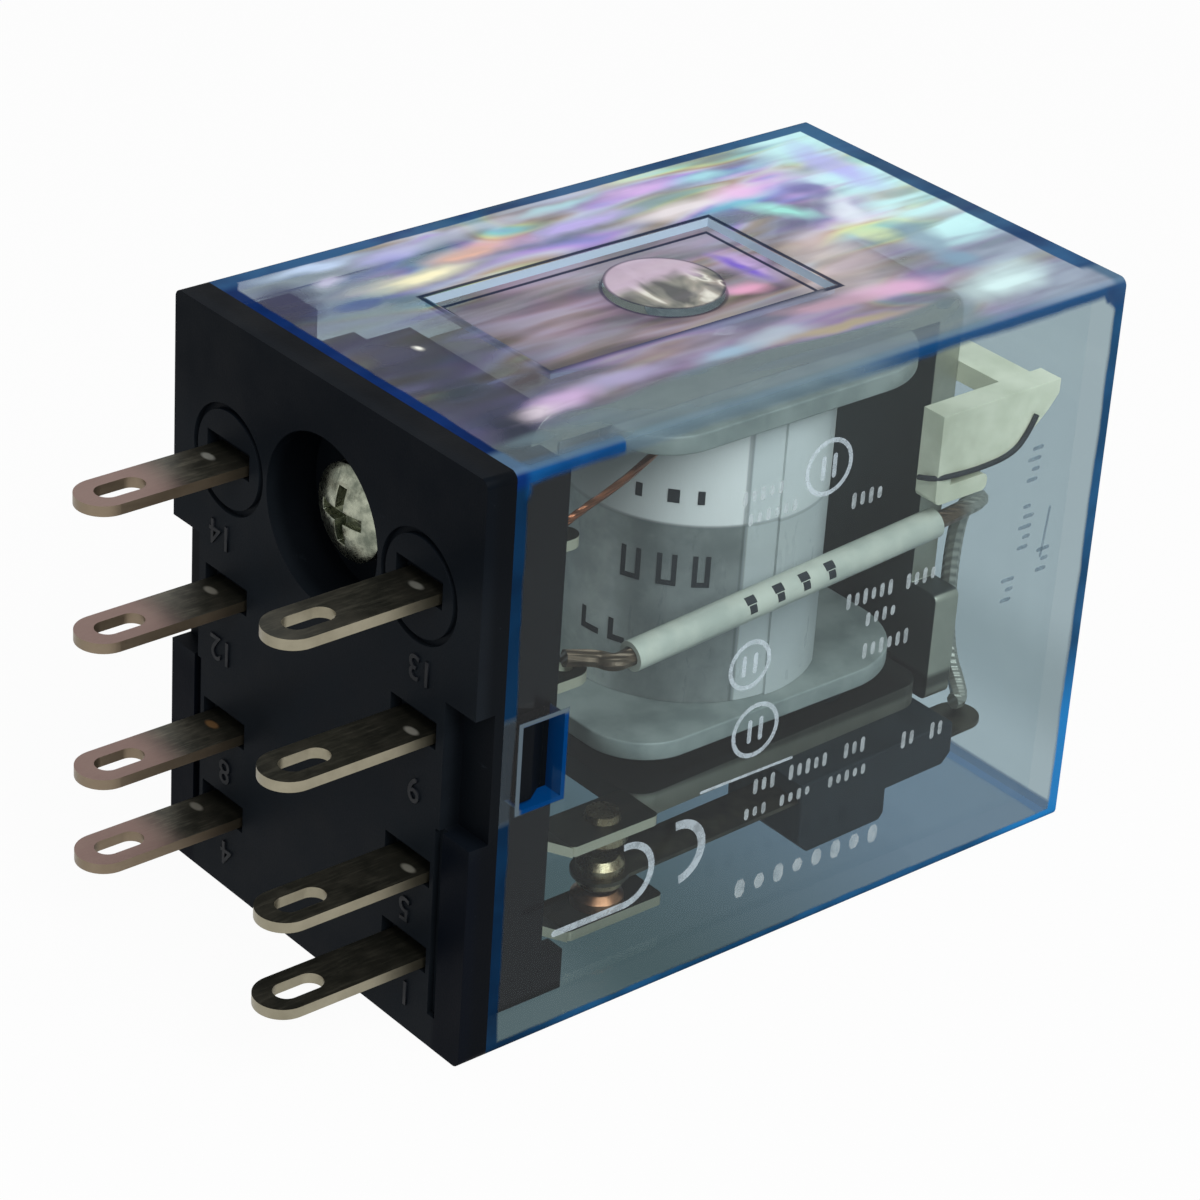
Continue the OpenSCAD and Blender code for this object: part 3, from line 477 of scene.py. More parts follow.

# Soft patches of the painted reflection on the upper face, light and dark: x, y, half length, half width,
# turn in degrees, colour, strength
FAR_PATCHES = (
    (3.1, 6.8, 2.4, 2.6, 0, (36, 38, 68), 0.95),
    (5.6, 5.0, 2.2, 0.8, -6, (50, 72, 122), 0.95),
    (7.4, 4.5, 1.4, 0.4, 0, (46, 78, 98), 0.85),
    (6.1, 7.6, 1.0, 0.6, 30, (196, 190, 218), 0.8),
    (6.3, 9.3, 2.6, 0.5, 0, (186, 206, 236), 0.9),
    (9.8, 8.5, 2.2, 0.5, 0, (158, 156, 212), 0.9),
    (9.4, 6.0, 3.0, 0.7, 0, (242, 234, 190), 0.95),
    (13.0, 7.0, 2.6, 0.7, 0, (214, 164, 142), 0.95),
    (15.8, 6.9, 0.8, 0.5, 0, (160, 112, 130), 0.85),
    (14.0, 8.8, 5.0, 0.5, 0, (190, 192, 214), 0.7),
    (18.8, 6.7, 3.4, 0.6, 0, (176, 160, 222), 0.9),
    (19.4, 8.9, 2.4, 0.4, 0, (160, 206, 214), 0.8),
    (23.9, 8.4, 2.4, 0.6, 0, (206, 166, 222), 0.9),
    (27.0, 7.9, 1.6, 0.6, 0, (156, 212, 222), 0.9),
    (24.2, 5.6, 3.2, 0.7, 0, (224, 216, 220), 0.85),
    (27.6, 5.7, 1.6, 0.8, -20, (224, 180, 220), 0.85))
END_PATCHES = (
    (28.0, 3.1, 1.7, 0.6, -50, (150, 226, 212), 0.9),
    (30.3, 4.2, 0.8, 1.1, 20, (98, 86, 150), 0.85),
    (33.5, 5.6, 1.1, 3.0, 0, (168, 166, 228), 0.9),
    (30.4, 1.7, 1.5, 0.8, 60, (220, 230, 238), 0.75),
    (29.5, -0.7, 1.5, 0.7, -60, (196, 214, 156), 0.85),
    (31.2, -2.2, 0.8, 1.9, 10, (118, 146, 164), 0.85),
    (31.1, -4.8, 0.9, 1.2, 20, (106, 142, 166), 0.8),
    (31.0, -7.9, 2.6, 1.3, 15, (200, 228, 228), 0.95),
    (27.4, -8.4, 0.7, 0.7, 0, (78, 88, 104), 0.85),
    (26.4, -5.8, 2.4, 0.7, -12, (206, 160, 196), 0.9),
    (26.2, -2.2, 3.2, 2.2, 60, (206, 188, 190), 0.75),
    (23.0, -0.2, 1.2, 2.0, 14, (184, 156, 212), 0.92),
    (22.6, -0.1, 0.5, 1.7, 14, (96, 66, 188), 0.9),
    (21.3, -1.7, 1.1, 0.6, -30, (222, 156, 190), 0.85))
NEAR_PATCHES = (
    (22.7, -5.5, 2.6, 0.5, -8, (176, 142, 160), 0.85),
    (22.0, -7.6, 3.6, 0.45, -6, (158, 146, 112), 0.85),
    (18.6, -6.6, 2.0, 0.6, 0, (164, 178, 190), 0.8),
    (15.8, -6.9, 1.9, 0.6, 0, (140, 172, 194), 0.85),
    (13.4, -7.5, 1.6, 0.4, 0, (84, 112, 136), 0.85),
    (10.2, -6.3, 2.6, 0.6, 0, (156, 148, 186), 0.85),
    (6.9, -6.7, 1.8, 0.8, 10, (190, 162, 200), 0.9),
    (5.3, -7.1, 1.6, 0.6, 0, (210, 198, 210), 0.9),
    (6.9, -4.5, 1.3, 0.7, 20, (56, 46, 48), 0.92),
    (4.2, -3.5, 1.4, 1.4, 20, (34, 46, 58), 0.95),
    (3.7, -7.9, 1.7, 2.6, 8, (24, 32, 50), 0.98),
    (3.6, 0.6, 1.6, 2.2, 10, (56, 58, 80), 0.9),
    (4.9, 0.4, 0.28, 0.28, 0, (236, 236, 226), 0.95))


class CoverPaint(Paint):
    """The cover's material under construction, with the places that its parts share."""

    def __init__(self):
        super().__init__("cover_clear")
        self.x, self.y, self.z = self.xyz()
        self.nx, self.ny, self.nz = self.xyz(self.facing)
        self.side = self.size(self.y)
        # how deep a point lies below the ends, the broad sides and the narrow sides
        self.below_end = self.least(self.minus(self.x, COVER_LOW.x), self.minus(COVER_HIGH.x, self.x))
        self.below_side = self.minus(COVER_HIGH.y, self.side)
        self.below_top = self.minus(COVER_HIGH.z, self.size(self.z))
        self.upper = self.times(self.ease(self.nz, 0.4, 0.8), self.ease(self.z, 13.2, 13.4))
        # how far a point lies outside the sunk panel
        past_x = self.minus(self.away(self.x, PANEL_X), PANEL_HALF_X)
        self.inset = self.most(past_x, self.minus(self.side, PANEL_HALF_Y))
        self.streak = self.noise(1.0, 2, 0.5, stretch=(0.11, 0.42, 1), offset=(2, 1, 0), warp=0.5)
        self.thread = self.noise(1.0, 2, 0.5, stretch=(0.11, 0.75, 1), offset=(4, 3, 0), warp=0.3)
        self.ripple = self.bump(self.noise(0.3, 0), 0.03, 0.25)


def wall_tint(p):
    """Tint of the outer skin, deeper low in the far end; the deep tint on the lower side is painted shade
    of the ground seen through it.
    """
    # painted shade: the lower side's deep tint darkens the ground seen through it
    below = p.mix(p.ease(p.x, 11, 31), (0.085, 0.14, 0.15, 1), (0.212, 0.298, 0.385, 1))
    below = p.mix(p.ease(p.x, 11, 7), below, (0.135, 0.19, 0.2, 1))
    far_end = p.times(p.ease(p.x, 35.4, 35.6), p.ease(p.z, -3, -7), p.ease(p.z, -12, -8))
    tint = p.mix(far_end, (0.56, 0.635, 0.66, 1), (0.43, 0.5, 0.52, 1))
    tint = p.mix(p.ease(p.z, -13.3, -13.6), tint, below)
    skin = p.least(p.size(p.below_end), p.below_side, p.below_top)
    return p.mix(p.ease(skin, 0.55, 0.45), (0.97, 0.985, 0.99, 1), tint)


def see_through(p, tint):
    """The bare wall, with a gloss that grows towards glancing angles."""
    slant = p.add("LayerWeight", {"Blend": 0.5, "Normal": p.ripple}).outputs["Facing"]
    glance = p.scaled(p.num("POWER", slant, 5.0), 0.7, 0.017)
    gloss = p.add("BsdfGlossy", {"Color": WHITE, "Roughness": 0.03, "Normal": p.ripple}).outputs[0]
    return p.both(glance, p.clear(tint), gloss)


def sheen_streaks(p):
    """Long soft pastel streaks of painted reflection, toned to each part of the upper face."""
    hue = p.noise(1.0, 1.5, 0.45, stretch=(0.10, 0.34, 1), offset=(7, 5, 0), warp=0.8)
    pastel = p.ramp(hue, [
        (0.30, srgb(150, 200, 214)),
        (0.37, srgb(166, 160, 214)),
        (0.43, srgb(214, 172, 220)),
        (0.49, srgb(226, 206, 214)),
        (0.55, srgb(214, 178, 152)),
        (0.60, srgb(232, 226, 168)),
        (0.66, srgb(176, 222, 212)),
        (0.74, srgb(176, 164, 226))])
    value = p.ramp(p.streak, [
        (0.34, srgb(120, 120, 140)),
        (0.44, srgb(176, 174, 190)),
        (0.54, srgb(226, 226, 232)),
        (0.66, srgb(255, 255, 255))])
    pastel = p.mix(1.0, pastel, value, "MULTIPLY")
    pastel = p.mix(p.ease(p.thread, 0.5, 0.72, 0, 0.3), pastel, srgb(240, 240, 246))
    pale_end = p.times(p.ease(p.x, 29, 33), p.ease(p.thread, 0.35, 0.6, 0.4, 1))
    pastel = p.mix(pale_end, pastel, srgb(206, 232, 238))
    sunk = p.ease(p.inset, 0.05, -0.05)
    pinkish = p.ramp(p.thread, [
        (0.32, srgb(112, 96, 94)),
        (0.44, srgb(158, 138, 136)),
        (0.54, srgb(196, 172, 176)),
        (0.64, srgb(214, 198, 210))])
    pastel = p.mix(p.times(sunk, 0.75), pastel, pinkish)
    near_side = p.times(p.ease(p.y, -3.6, -4.6), p.opposite(sunk), 0.6)
    pastel = p.mix(near_side, pastel, p.mix(p.thread, srgb(120, 104, 116), srgb(206, 182, 214)))
    pastel = p.add("Gamma", {"Color": pastel, "Gamma": 1.3}).outputs[0]
    tone = p.mix(p.ease(p.x, 27, 31), (0.67, 0.86, 0.98, 1), (0.9, 1.04, 0.98, 1))
    tone = p.mix(p.ease(p.y, -2, -5), tone, (0.58, 0.68, 0.7, 1))
    tone = p.mix(sunk, tone, (0.48, 0.52, 0.57, 1))
    tone = p.mix(p.ease(p.x, 12, 6), tone, (0.21, 0.3, 0.46, 1))
    return p.mix(1.0, pastel, tone, "MULTIPLY")


def lay_patches(p, pastel):
    """The soft patches laid over the streaks, and how densely they cover them."""
    sway = p.vector("SUBTRACT", p.noise_colour(0.35, 2, 0.5), (0.5, 0.5, 0.5))
    swayed = p.vector("ADD", p.spot, p.vector("MULTIPLY", sway, (2.4, 1.2, 0)))
    dense = 0.0
    for x, y, half_length, half_width, turn, colour, strength in FAR_PATCHES + END_PATCHES + NEAR_PATCHES:
        place = p.vector("SUBTRACT", swayed, (x, y, 0))
        turned = {"Vector": place, "Angle": -math.radians(turn)}
        place = p.add("VectorRotate", turned, rotation_type="Z_AXIS").outputs[0]
        reach = p.length(p.vector("MULTIPLY", place, (1 / half_length, 1 / half_width, 0)))
        ragged = p.ease(p.thread, 0.3, 0.5, strength * 0.75, strength)
        soft = p.times(p.ease(reach, 1.5, 0.25), ragged)
        pastel = p.mix(soft, pastel, srgb(*colour))
        dense = p.most(dense, soft)
    return pastel, dense


def sheen(p):
    """The painted reflection's own surface, and its share over the clear wall."""
    pastel, dense = lay_patches(p, sheen_streaks(p))
    wavy = p.plus(p.y, p.vary(p.streak, -0.5, 0.5))
    near_strip = p.times(p.ease(wavy, -7.6, -8.3), p.ease(p.x, 29, 27))
    greyed = p.mix(p.thread, srgb(60, 80, 92), srgb(98, 117, 124))
    pastel = p.mix(p.times(near_strip, 0.9), pastel, greyed)
    share = p.most(p.ease(p.streak, 0.36, 0.6, 0.6, 0.88), p.ease(p.x, 27, 31, 0, 0.85))
    ragged_x = p.plus(p.x, p.vary(p.thread, -1.6, 1.6))
    dim_left = p.ease(p.minus(ragged_x, p.times(p.y, 0.1)), 8.4, 5.6, 1.0, 0.6)
    share = p.times(share, dim_left, p.scaled(near_strip, -0.2, 1.0))
    share = p.most(share, p.times(dense, 0.9))
    return p.shade(pastel, 0.35, Specular_IOR_Level=0.06), share


def stub_gloss(p):
    """The round stub's flat top: a painted reflection of dark and bright streaks, pinkish on its far part.
    """
    fleck_and_glint = p.noise(1.0, 2.5, 0.5, stretch=(0.7, 0.42, 1), offset=(1, 6, 0), warp=0.6)
    # painted reflection: dark and bright streaks on the stub's top
    gloss = p.ramp(fleck_and_glint, [
        (0.36, srgb(56, 60, 55)),
        (0.45, srgb(110, 112, 101)),
        (0.53, srgb(148, 144, 131)),
        (0.60, srgb(216, 216, 203)),
        (0.66, srgb(106, 104, 99))])
    # painted reflection: pinkish on the far part
    mirrored = p.ease(p.plus(p.y, p.vary(fleck_and_glint, -0.6, 0.6)), -0.3, 0.9)
    gloss = p.mix(mirrored, gloss, p.mix(fleck_and_glint, srgb(156, 138, 152), srgb(196, 178, 198)))
    return p.shade(gloss, 0.3, Specular_IOR_Level=0.2)


def panel_lines(p, clear):
    """The stub's top, the dark lines round the stub and the panel, a painted shade inside the panel's near
    edge, and a painted highlight on the panel's step.
    """
    off = p.length(p.vector("SUBTRACT", p.spot, (STUB_X, 0, STUB_TOP)))
    disc = p.times(p.ease(off, STUB_RADIUS + 0.03, STUB_RADIUS - 0.12), p.upper, 0.8)
    clear = p.both(disc, clear, stub_gloss(p))
    ring = p.times(p.ease(p.away(off, STUB_RADIUS), 0.2, 0.08), 0.6)
    outer_line = p.ease(p.away(p.inset, 0.18), 0.16, 0.08)
    inner_line = p.ease(p.away(p.inset, -0.5), 0.14, 0.06)
    far_side = p.most(p.ease(p.y, 2.0, 3.6), p.ease(p.x, 23.2, 23.8))
    rim = p.times(p.most(outer_line, inner_line), p.scaled(far_side, 0.72, 0.18))
    # painted shade: a soft dark band just inside the panel's near edge
    near_painted_shade = p.times(p.ease(p.y, -3.2, -3.9), p.ease(p.away(p.inset, -0.1), 0.5, 0.1), 0.75)
    rim = p.times(p.most(rim, near_painted_shade, ring), p.upper)
    clear = p.both(rim, clear, p.matt(srgb(18, 30, 52)))
    # painted highlight: the panel's upright step walls pale
    upright = p.times(p.ease(p.size(p.nz), 0.4, 0.2), p.ease(p.z, 13.5, 13.6))
    step = p.times(upright, p.ease(p.inset, 0.1, 0.05), p.ease(p.inset, -0.1, -0.05), 0.8)
    return p.both(step, clear, p.shade(srgb(164, 184, 204), 0.3, Specular_IOR_Level=0.2))


def edge_blue(p):
    """The blue gathered in the edges, at the mouth and round the latch windows: its colour and share."""
    fine = p.noise(0.25, 3)
    cloudy = p.ease(fine, 0.35, 0.65)
    upper_far_edge = p.times(p.ease(p.x, 34.6, 35.0), p.ease(p.z, 12.6, 13.2))
    far = p.most(p.ease(p.y, 9.0, 9.8), upper_far_edge)
    top_near = p.times(p.ease(p.y, -8.6, -9.2), p.ease(p.z, 12.4, 13.0))
    pale = p.times(top_near, p.ease(p.x, 7.0, 7.15), p.ease(p.x, 24.0, 17.0))

    # the middle one of the three depths is the distance from the nearest edge
    middle = p.most(
        p.least(p.below_end, p.below_side),
        p.least(p.most(p.below_end, p.below_side), p.below_top))
    width = p.scaled(far, 0.45, p.vary(fine, 0.5, 0.64))
    past = p.minus(middle, width)
    sharp = p.ease(past, 0.08, -0.08)
    line = p.scaled(top_near, p.minus(p.ease(past, 0.3, -0.12), sharp), sharp)
    thin = p.times(p.ease(p.below_side, 0.0, 0.5, 0.3, 0.9), p.ease(p.below_end, 0.4, 0.9))
    thin = p.times(thin, p.ease(p.x, 6.8, 7.2, 0.75, 1), top_near, p.upper)
    line = p.times(line, p.opposite(thin))

    lower = p.most(p.times(p.ease(p.z, -6, -12), p.ease(p.x, 2, 8)), p.ease(p.x, 28, 33))
    far_low = p.times(p.ease(p.x, 30, 34), p.ease(p.z, -4, -9))
    mouth_top = p.times(p.ease(p.z, 13.0, 13.5), p.ease(p.x, 3.0, 2.2))
    corner = p.times(p.ease(p.below_top, 0.24, 0.02, 0, 0.5), top_near)
    by_notch = p.ease(p.away(p.z, NOTCH_Z), NOTCH_REACH, NOTCH_REACH - 0.5)
    beside_notch = p.times(by_notch, p.ease(p.x, 3.2, 2.6), p.ease(p.y, -9.0, -9.8))
    blue = p.mix(cloudy, srgb(7, 30, 54), srgb(10, 40, 68))
    for share, low, high in (
            (lower, (16, 58, 92), (28, 76, 116)),
            (far_low, (30, 110, 170), (30, 110, 170)),
            (mouth_top, (4, 28, 70), (8, 38, 90)),
            (p.times(top_near, p.ease(p.x, 1.8, 2.4)), (8, 52, 98), (14, 68, 118)),
            (p.times(top_near, p.ease(p.x, 19, 22)), (18, 58, 98), (18, 58, 98)),
            (far, (28, 56, 92), (40, 80, 118)),
            (pale, (72, 94, 112), (72, 94, 112)),
            (corner, (96, 124, 142), (96, 124, 142)),
            (beside_notch, (74, 90, 102), (74, 90, 102))):
        blue = p.mix(share, blue, p.mix(cloudy, srgb(*low), srgb(*high)))

    outward = p.opposite(p.add("NewGeometry").outputs["Backfacing"])
    front = p.most(outward, p.ease(p.x, 34.8, 35.2, 0, 0.4))
    share = p.times(line, front, p.scaled(pale, -0.45, 0.95))
    share = p.times(share, p.scaled(beside_notch, -0.8, 1.0))
    mouth = p.times(p.ease(p.x, 1.56, 1.52), p.ease(p.nx, -0.5, -0.9))
    hole = p.most(
        p.minus(p.away(p.x, WINDOW_X), WINDOW_HALF_X),
        p.minus(p.size(p.z), WINDOW_HALF_Z))
    window = p.times(p.ease(hole, 0.26, 0.18), p.ease(p.side, 9.7, 9.74), outward)
    lit_rim = p.most(p.ease(p.x, 2.75, 2.5), p.ease(p.z, 1.85, 2.1))
    blue = p.mix(window, blue, p.mix(lit_rim, srgb(0, 50, 100), srgb(80, 92, 100)))
    return blue, p.most(share, p.times(p.most(mouth, window), 0.93))


def cover_clear():
    """Clear plastic whose edges gather a deep blue, with a pastel sheen of painted reflection on its upper
    face.
    """
    p = CoverPaint()
    tint = wall_tint(p)
    # painted reflection: the pastel sheen over the upper face
    film, film_share = sheen(p)
    # each branch has a wall of its own, so that the one that isn't seen costs no time
    filmed = p.both(film_share, see_through(p, tint), film)
    clear = panel_lines(p, p.both(p.upper, see_through(p, tint), filmed))
    blue, blue_share = edge_blue(p)
    solid = p.both(blue_share, clear, p.matt(blue))
    # lamps shine in through the wall
    return p.done(p.both(p.add("LightPath").outputs["Is Shadow Ray"], solid, p.clear()))


# Looks that differ only in their values

METALS = {
    "contact_gold": dict(low=(136, 118, 92), high=(174, 158, 128), rough=(0.22, 0.36), stain=(104, 78, 46)),
    "contact_copper": dict(low=(128, 88, 64), high=(184, 132, 98), rough=(0.25, 0.4), stain=(90, 60, 42)),
    "screw_zinc": dict(
        low=(102, 108, 96), high=(168, 172, 154), rough=(0.2, 0.36), scale=1.4, stain=(86, 90, 78)),
    "core_iron": dict(low=(132, 134, 136), high=(170, 170, 170), rough=(0.28, 0.42)),
    "spring_bronze": dict(low=(62, 60, 54), high=(96, 90, 76), rough=(0.3, 0.44), stretch=(0.2, 2, 2)),
    "return_steel": dict(low=(150, 152, 154), high=(198, 198, 198), rough=(0.2, 0.32))}
PALE_PLASTICS = {
    "bobbin_plastic": dict(low=(118, 128, 125), high=(148, 157, 152)),
    "guide_plastic": dict(
        low=(210, 212, 186), high=(234, 234, 210), fleck_and_glint=(176, 172, 140), lean=(27, 33, 0.84, 1.12)),
    "sleeve_plastic": dict(low=(178, 184, 172), high=(202, 205, 190), gloss=(0.3, 0.44))}
PRINTS = {
    "print_pale": dict(colour=(190, 204, 212), share=0.42),
    "print_faint": dict(colour=(178, 190, 194), share=0.4),
    "print_grey": dict(colour=(92, 114, 128), share=0.5)}
DARKS = {
    "print_dark": dict(low=(34, 38, 42), high=(58, 62, 66)),
    "relief_dark": dict(low=(4, 7, 12), high=(12, 16, 22))}


def build_materials():
    """Every material by its name: one for each slot of the record, and those of print and relief."""
    materials = {
        "base_plastic": base_plastic(),
        "block_plastic": block_plastic(),
        "blade_metal": blade_metal(),
        "yoke_steel": yoke_steel(),
        "coil_copper": coil_copper(),
        "lead_copper": lead_copper(),
        "tape_film": tape_film(),
        "cover_clear": cover_clear()}
    makers = ((plated, METALS), (pale_plastic, PALE_PLASTICS), (paint_film, PRINTS), (dull_dark, DARKS))
    for maker, looks in makers:
        for name, look in looks.items():
            materials[name] = maker(name, **look)
    return materials


# Pieces

# Points within WELD metres become one; edges under FLAT_ANGLE go, and those over BREAK_ANGLE are broken
WELD = 1e-6
FLAT_ANGLE, BREAK_ANGLE = math.radians(0.6), math.radians(32)
# Width of the broken edges of each piece that has them
EDGE_BREAKS = {
    "base": 0.1,
    "spring_block": 0.12,
    "lead_guide": 0.12,
    "yoke": 0.1,
    "armature": 0.08,
    "bobbin": 0.1,
    "yoke_screw": 0.06}


def dress(materials):
    """Each CAD node gets its slot's material."""
    for name, obj in NODES.items():
        obj.data.materials.clear()
        obj.data.materials.append(materials[SLOT_OF[name]])


def rounded(node, width, materials):
    """A copy of a CAD node with broken edges, standing for it."""
    name = node + "_body"
    mesh = bpy.data.meshes.new(name)
    bm = bmesh.new()
    bm.from_mesh(NODES[node].data)
    bmesh.ops.remove_doubles(bm, verts=bm.verts, dist=WELD)
    bmesh.ops.dissolve_limit(bm, angle_limit=FLAT_ANGLE, verts=bm.verts, edges=bm.edges)
    bm.to_mesh(mesh)
    bm.free()
    mesh.materials.append(materials[SLOT_OF[node]])
    obj = bpy.data.objects.new(name, mesh)
    SCENE.collection.objects.link(obj)
    bevel = obj.modifiers.new("broken_edges", "BEVEL")
    bevel.width = width * MM
    bevel.segments = 2
    bevel.limit_method = "ANGLE"
    bevel.angle_limit = BREAK_ANGLE
    obj.data.shade_smooth()
    weighted = obj.modifiers.new("flat_faces", "WEIGHTED_NORMAL")
    weighted.keep_sharp = True
    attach(obj, BODY_OF[node])
    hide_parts(node)


def add_piece(name, mesh, material):
    """A mesh in metres as a piece that rides on the housing."""
    mesh.materials.clear()
    mesh.materials.append(material)
    obj = bpy.data.objects.new(name, mesh)
    SCENE.collection.objects.link(obj)
    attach(obj, "housing")


def add_bmesh(name, bm, material):
    """A piece made of a bmesh in millimetres."""
    mesh = bpy.data.meshes.new(name)
    bmesh.ops.recalc_face_normals(bm, faces=bm.faces)
    bm.to_mesh(mesh)
    bm.free()
    mesh.transform(Matrix.Scale(MM, 4))
    add_piece(name, mesh, material)


def curve_mesh(name, curve):
    """The mesh of a curve or a text."""
    holder = bpy.data.objects.new(name, curve)
    SCENE.collection.objects.link(holder)
    mesh = bpy.data.meshes.new_from_object(holder)
    bpy.data.objects.remove(holder)
    return mesh


def join(bm, a, b, closed=True):
    """Faces between two rows of points, and from their last points to their first when closed."""
    for i in range(len(a) if closed else len(a) - 1):
        j = (i + 1) % len(a)
        bm.faces.new((a[i], a[j], b[j], b[i]))


# Print on the near wall of the cover

# Thickness of the ink, and the y of its lower side, just off the wall
INK = 0.012
PRINT_Y = COVER_LOW.y - 0.004
HOOP_STEPS = 40
# Heights and lengths that neighbouring ticks and bars take in turn
TICK_HEIGHTS = (1.0, 0.82, 1.0, 0.74, 0.9)
SIDE_LENGTHS = (0.7, 0.5, 0.85)

# Rows of ticks: x of the first tick, z, number of ticks, height, and the last row's own pitch
TICK_ROWS = (
    (16.0, -5.45, 3, 0.8), (18.1, -5.45, 5, 0.8), (21.4, -5.45, 3, 0.8),
    (25.0, -6.1, 2, 0.9), (26.8, -6.2, 2, 0.9),
    (15.6, -6.75, 3, 0.6), (17.7, -6.75, 4, 0.6), (20.6, -6.8, 5, 0.6),
    (20.6, 2.35, 6, 0.8), (24.2, 2.3, 4, 0.8), (21.9, 1.1, 4, 0.7), (21.9, -0.5, 6, 0.8),
    (13.9, 9.3, 5, 0.7), (14.3, 8.2, 6, 0.6), (20.3, 7.4, 4, 0.8),
    (15.6, -10.6, 8, 1.0, 1.15))
# Bars: x, z, length, width, faces of a round end
BARS = ((15.4, -4.65, 5.4, 0.14, 5), (6.75, -8.95, 4.0, 0.34, 8))
# Arcs: x, z, radius, width, first and last degree
ARCS = ((8.7, -7.45, 1.5, 0.34, -90, 96), (11.6, -7.35, 1.45, 0.44, -80, 96))
# Rings with two bars in them: x, z, radius
RINGS = ((15.0, 1.0, 1.1), (15.66, -2.45, 1.25), (18.6, 9.5, 1.25))
RING_WIDTH, RING_BAR_SHIFT, RING_BAR_WIDTH = 0.22, 0.32, 0.24
# Columns of short bars near the far end: x, z of the lowest bar, number of bars
COLUMNS = ((31.4, 5.3, 4), (31.3, 1.9, 5), (32.7, 0.4, 3), (30.6, -0.6, 3))
COLUMN_PITCH, COLUMN_STAGGER, COLUMN_BAR_WIDTH = 0.52, 0.16, 0.2
# The slanting line beside them: x, z, length, width, and its lean
SLANT, SLANT_LEAN = (32.7, 2.3, 2.6, 0.14), 0.1


def pill(bm, x, z, along, across, length, width, turns=5):
    """A bar of ink with round ends; along and across lie in the wall."""
    r = width / 2
    half = max(length / 2 - r, 0)
    outline = []
    for end, start in ((1, -90), (-1, 90)):
        for i in range(turns + 1):
            a = math.radians(start + 180 * i / turns)
            outline.append((end * half + r * math.cos(a), r * math.sin(a)))
    rings = []
    for lift, shrink in ((0, 1.0), (INK * 0.7, 1.0), (INK, 0.9)):
        centre = Vector((x, PRINT_Y - lift, z))
        shorten = 1 - (1 - shrink) * r / max(length / 2, r)
        rings.append([bm.verts.new(centre + along * u * shorten + across * v * shrink) for u, v in outline])
    for lower, upper in zip(rings, rings[1:]):
        join(bm, lower, upper)
    bm.faces.new(rings[-1])
    bm.faces.new(reversed(rings[0]))


def hoop(bm, x, z, radius, width, start=0, stop=360):
    """A flat ring of ink, or the part of one from start to stop, in degrees."""
    closed = stop - start == 360
    count = HOOP_STEPS if closed else HOOP_STEPS + 1
    turns = [math.radians(start + (stop - start) * i / HOOP_STEPS) for i in range(count)]
    inner, outer = radius - width / 2, radius + width / 2
    loops = []
    for r, lift in ((inner, 0), (inner, INK), (outer, INK), (outer, 0)):
        centre = Vector((x, PRINT_Y - lift, z))
        loops.append([bm.verts.new(centre + X * r * math.cos(a) + Z * r * math.sin(a)) for a in turns])
    for a, b in zip(loops, loops[1:] + loops[:1]):
        join(bm, a, b, closed)
    if not closed:
        bm.faces.new([loop[0] for loop in loops])
        bm.faces.new([loop[-1] for loop in reversed(loops)])


def tick_row(bm, start, z, count, height, pitch=0.5):
    """A row of upright ticks."""
    for i in range(count):
        tall = height * TICK_HEIGHTS[i % len(TICK_HEIGHTS)]
        pill(bm, start + pitch * i, z, Z, X, tall, pitch * 0.5, 3)


def print_rows(materials):
    """Rows of ticks on the near wall."""
    bm = bmesh.new()
    for row in TICK_ROWS:
        tick_row(bm, *row)
    add_bmesh("cover_print_rows", bm, materials["print_faint"])


def print_marks(materials):
    """Bars, arcs and rings with bars in them on the near wall."""
    bm = bmesh.new()
    for x, z, length, width, turns in BARS:
        pill(bm, x, z, X, Z, length, width, turns)
    for arc in ARCS:
        hoop(bm, *arc)
    for x, z, radius in RINGS:
        hoop(bm, x, z, radius, RING_WIDTH)
        for shift in (-RING_BAR_SHIFT, RING_BAR_SHIFT):
            pill(bm, x + shift, z, Z, X, radius * 0.95, RING_BAR_WIDTH)
    add_bmesh("cover_print_marks", bm, materials["print_pale"])


def print_side(materials):
    """Columns of short bars and one slanting line on the near wall, at its far end."""
    bm = bmesh.new()
    for x, z, count in COLUMNS:
        for i in range(count):
            length = SIDE_LENGTHS[i % len(SIDE_LENGTHS)]
            bar_x = x + COLUMN_STAGGER * (i % 2)
            pill(bm, bar_x, z + COLUMN_PITCH * i, X, Z, length, COLUMN_BAR_WIDTH, 3)
    x, z, length, width = SLANT
    along, across = Z + X * SLANT_LEAN, X - Z * SLANT_LEAN
    pill(bm, x, z, along.normalized(), across.normalized(), length, width)
    add_bmesh("cover_print_side", bm, materials["print_grey"])


# Print on the coil and the sleeve, raised numbers and the guide wire

# Radius of the print on the tape, and about how many degrees one of its faces spans
TAPE_INK_RADIUS, INK_STEP = 6.08, 3
# Cups, blocks and corners on the tape: where each starts and stops, in degrees, then their heights
CUPS = ((-161, -152), (-145, -136.5), (-130, -122.5))
CUP_LOW, CUP_FLOOR, CUP_HIGH, CUP_STROKE = 1.4, 1.65, 2.95, 2.2
BLOCKS = ((-156.5, -153.5), (-142.5, -137.5), (-130, -127))
BLOCK_LOW, BLOCK_HIGH = 5.5, 6.15
CORNERS = ((-180, -170), (-165, -157))
CORNER_LOW, CORNER_FLOOR, CORNER_HIGH, CORNER_STROKE = -2.0, -1.7, -0.9, 2.5
# Marks on the sleeve: x of each along the sleeve, then length and tilt of the two strokes of one
SLEEVE_MARKS = (17.0, 18.6, 20.1, 21.6)
SLEEVE_STROKES = ((0.55, 40), (0.4, 75))
# Degrees that a stroke wraps round the sleeve, and the number of its faces
STROKE_ARC, STROKE_STEPS = 32, 5

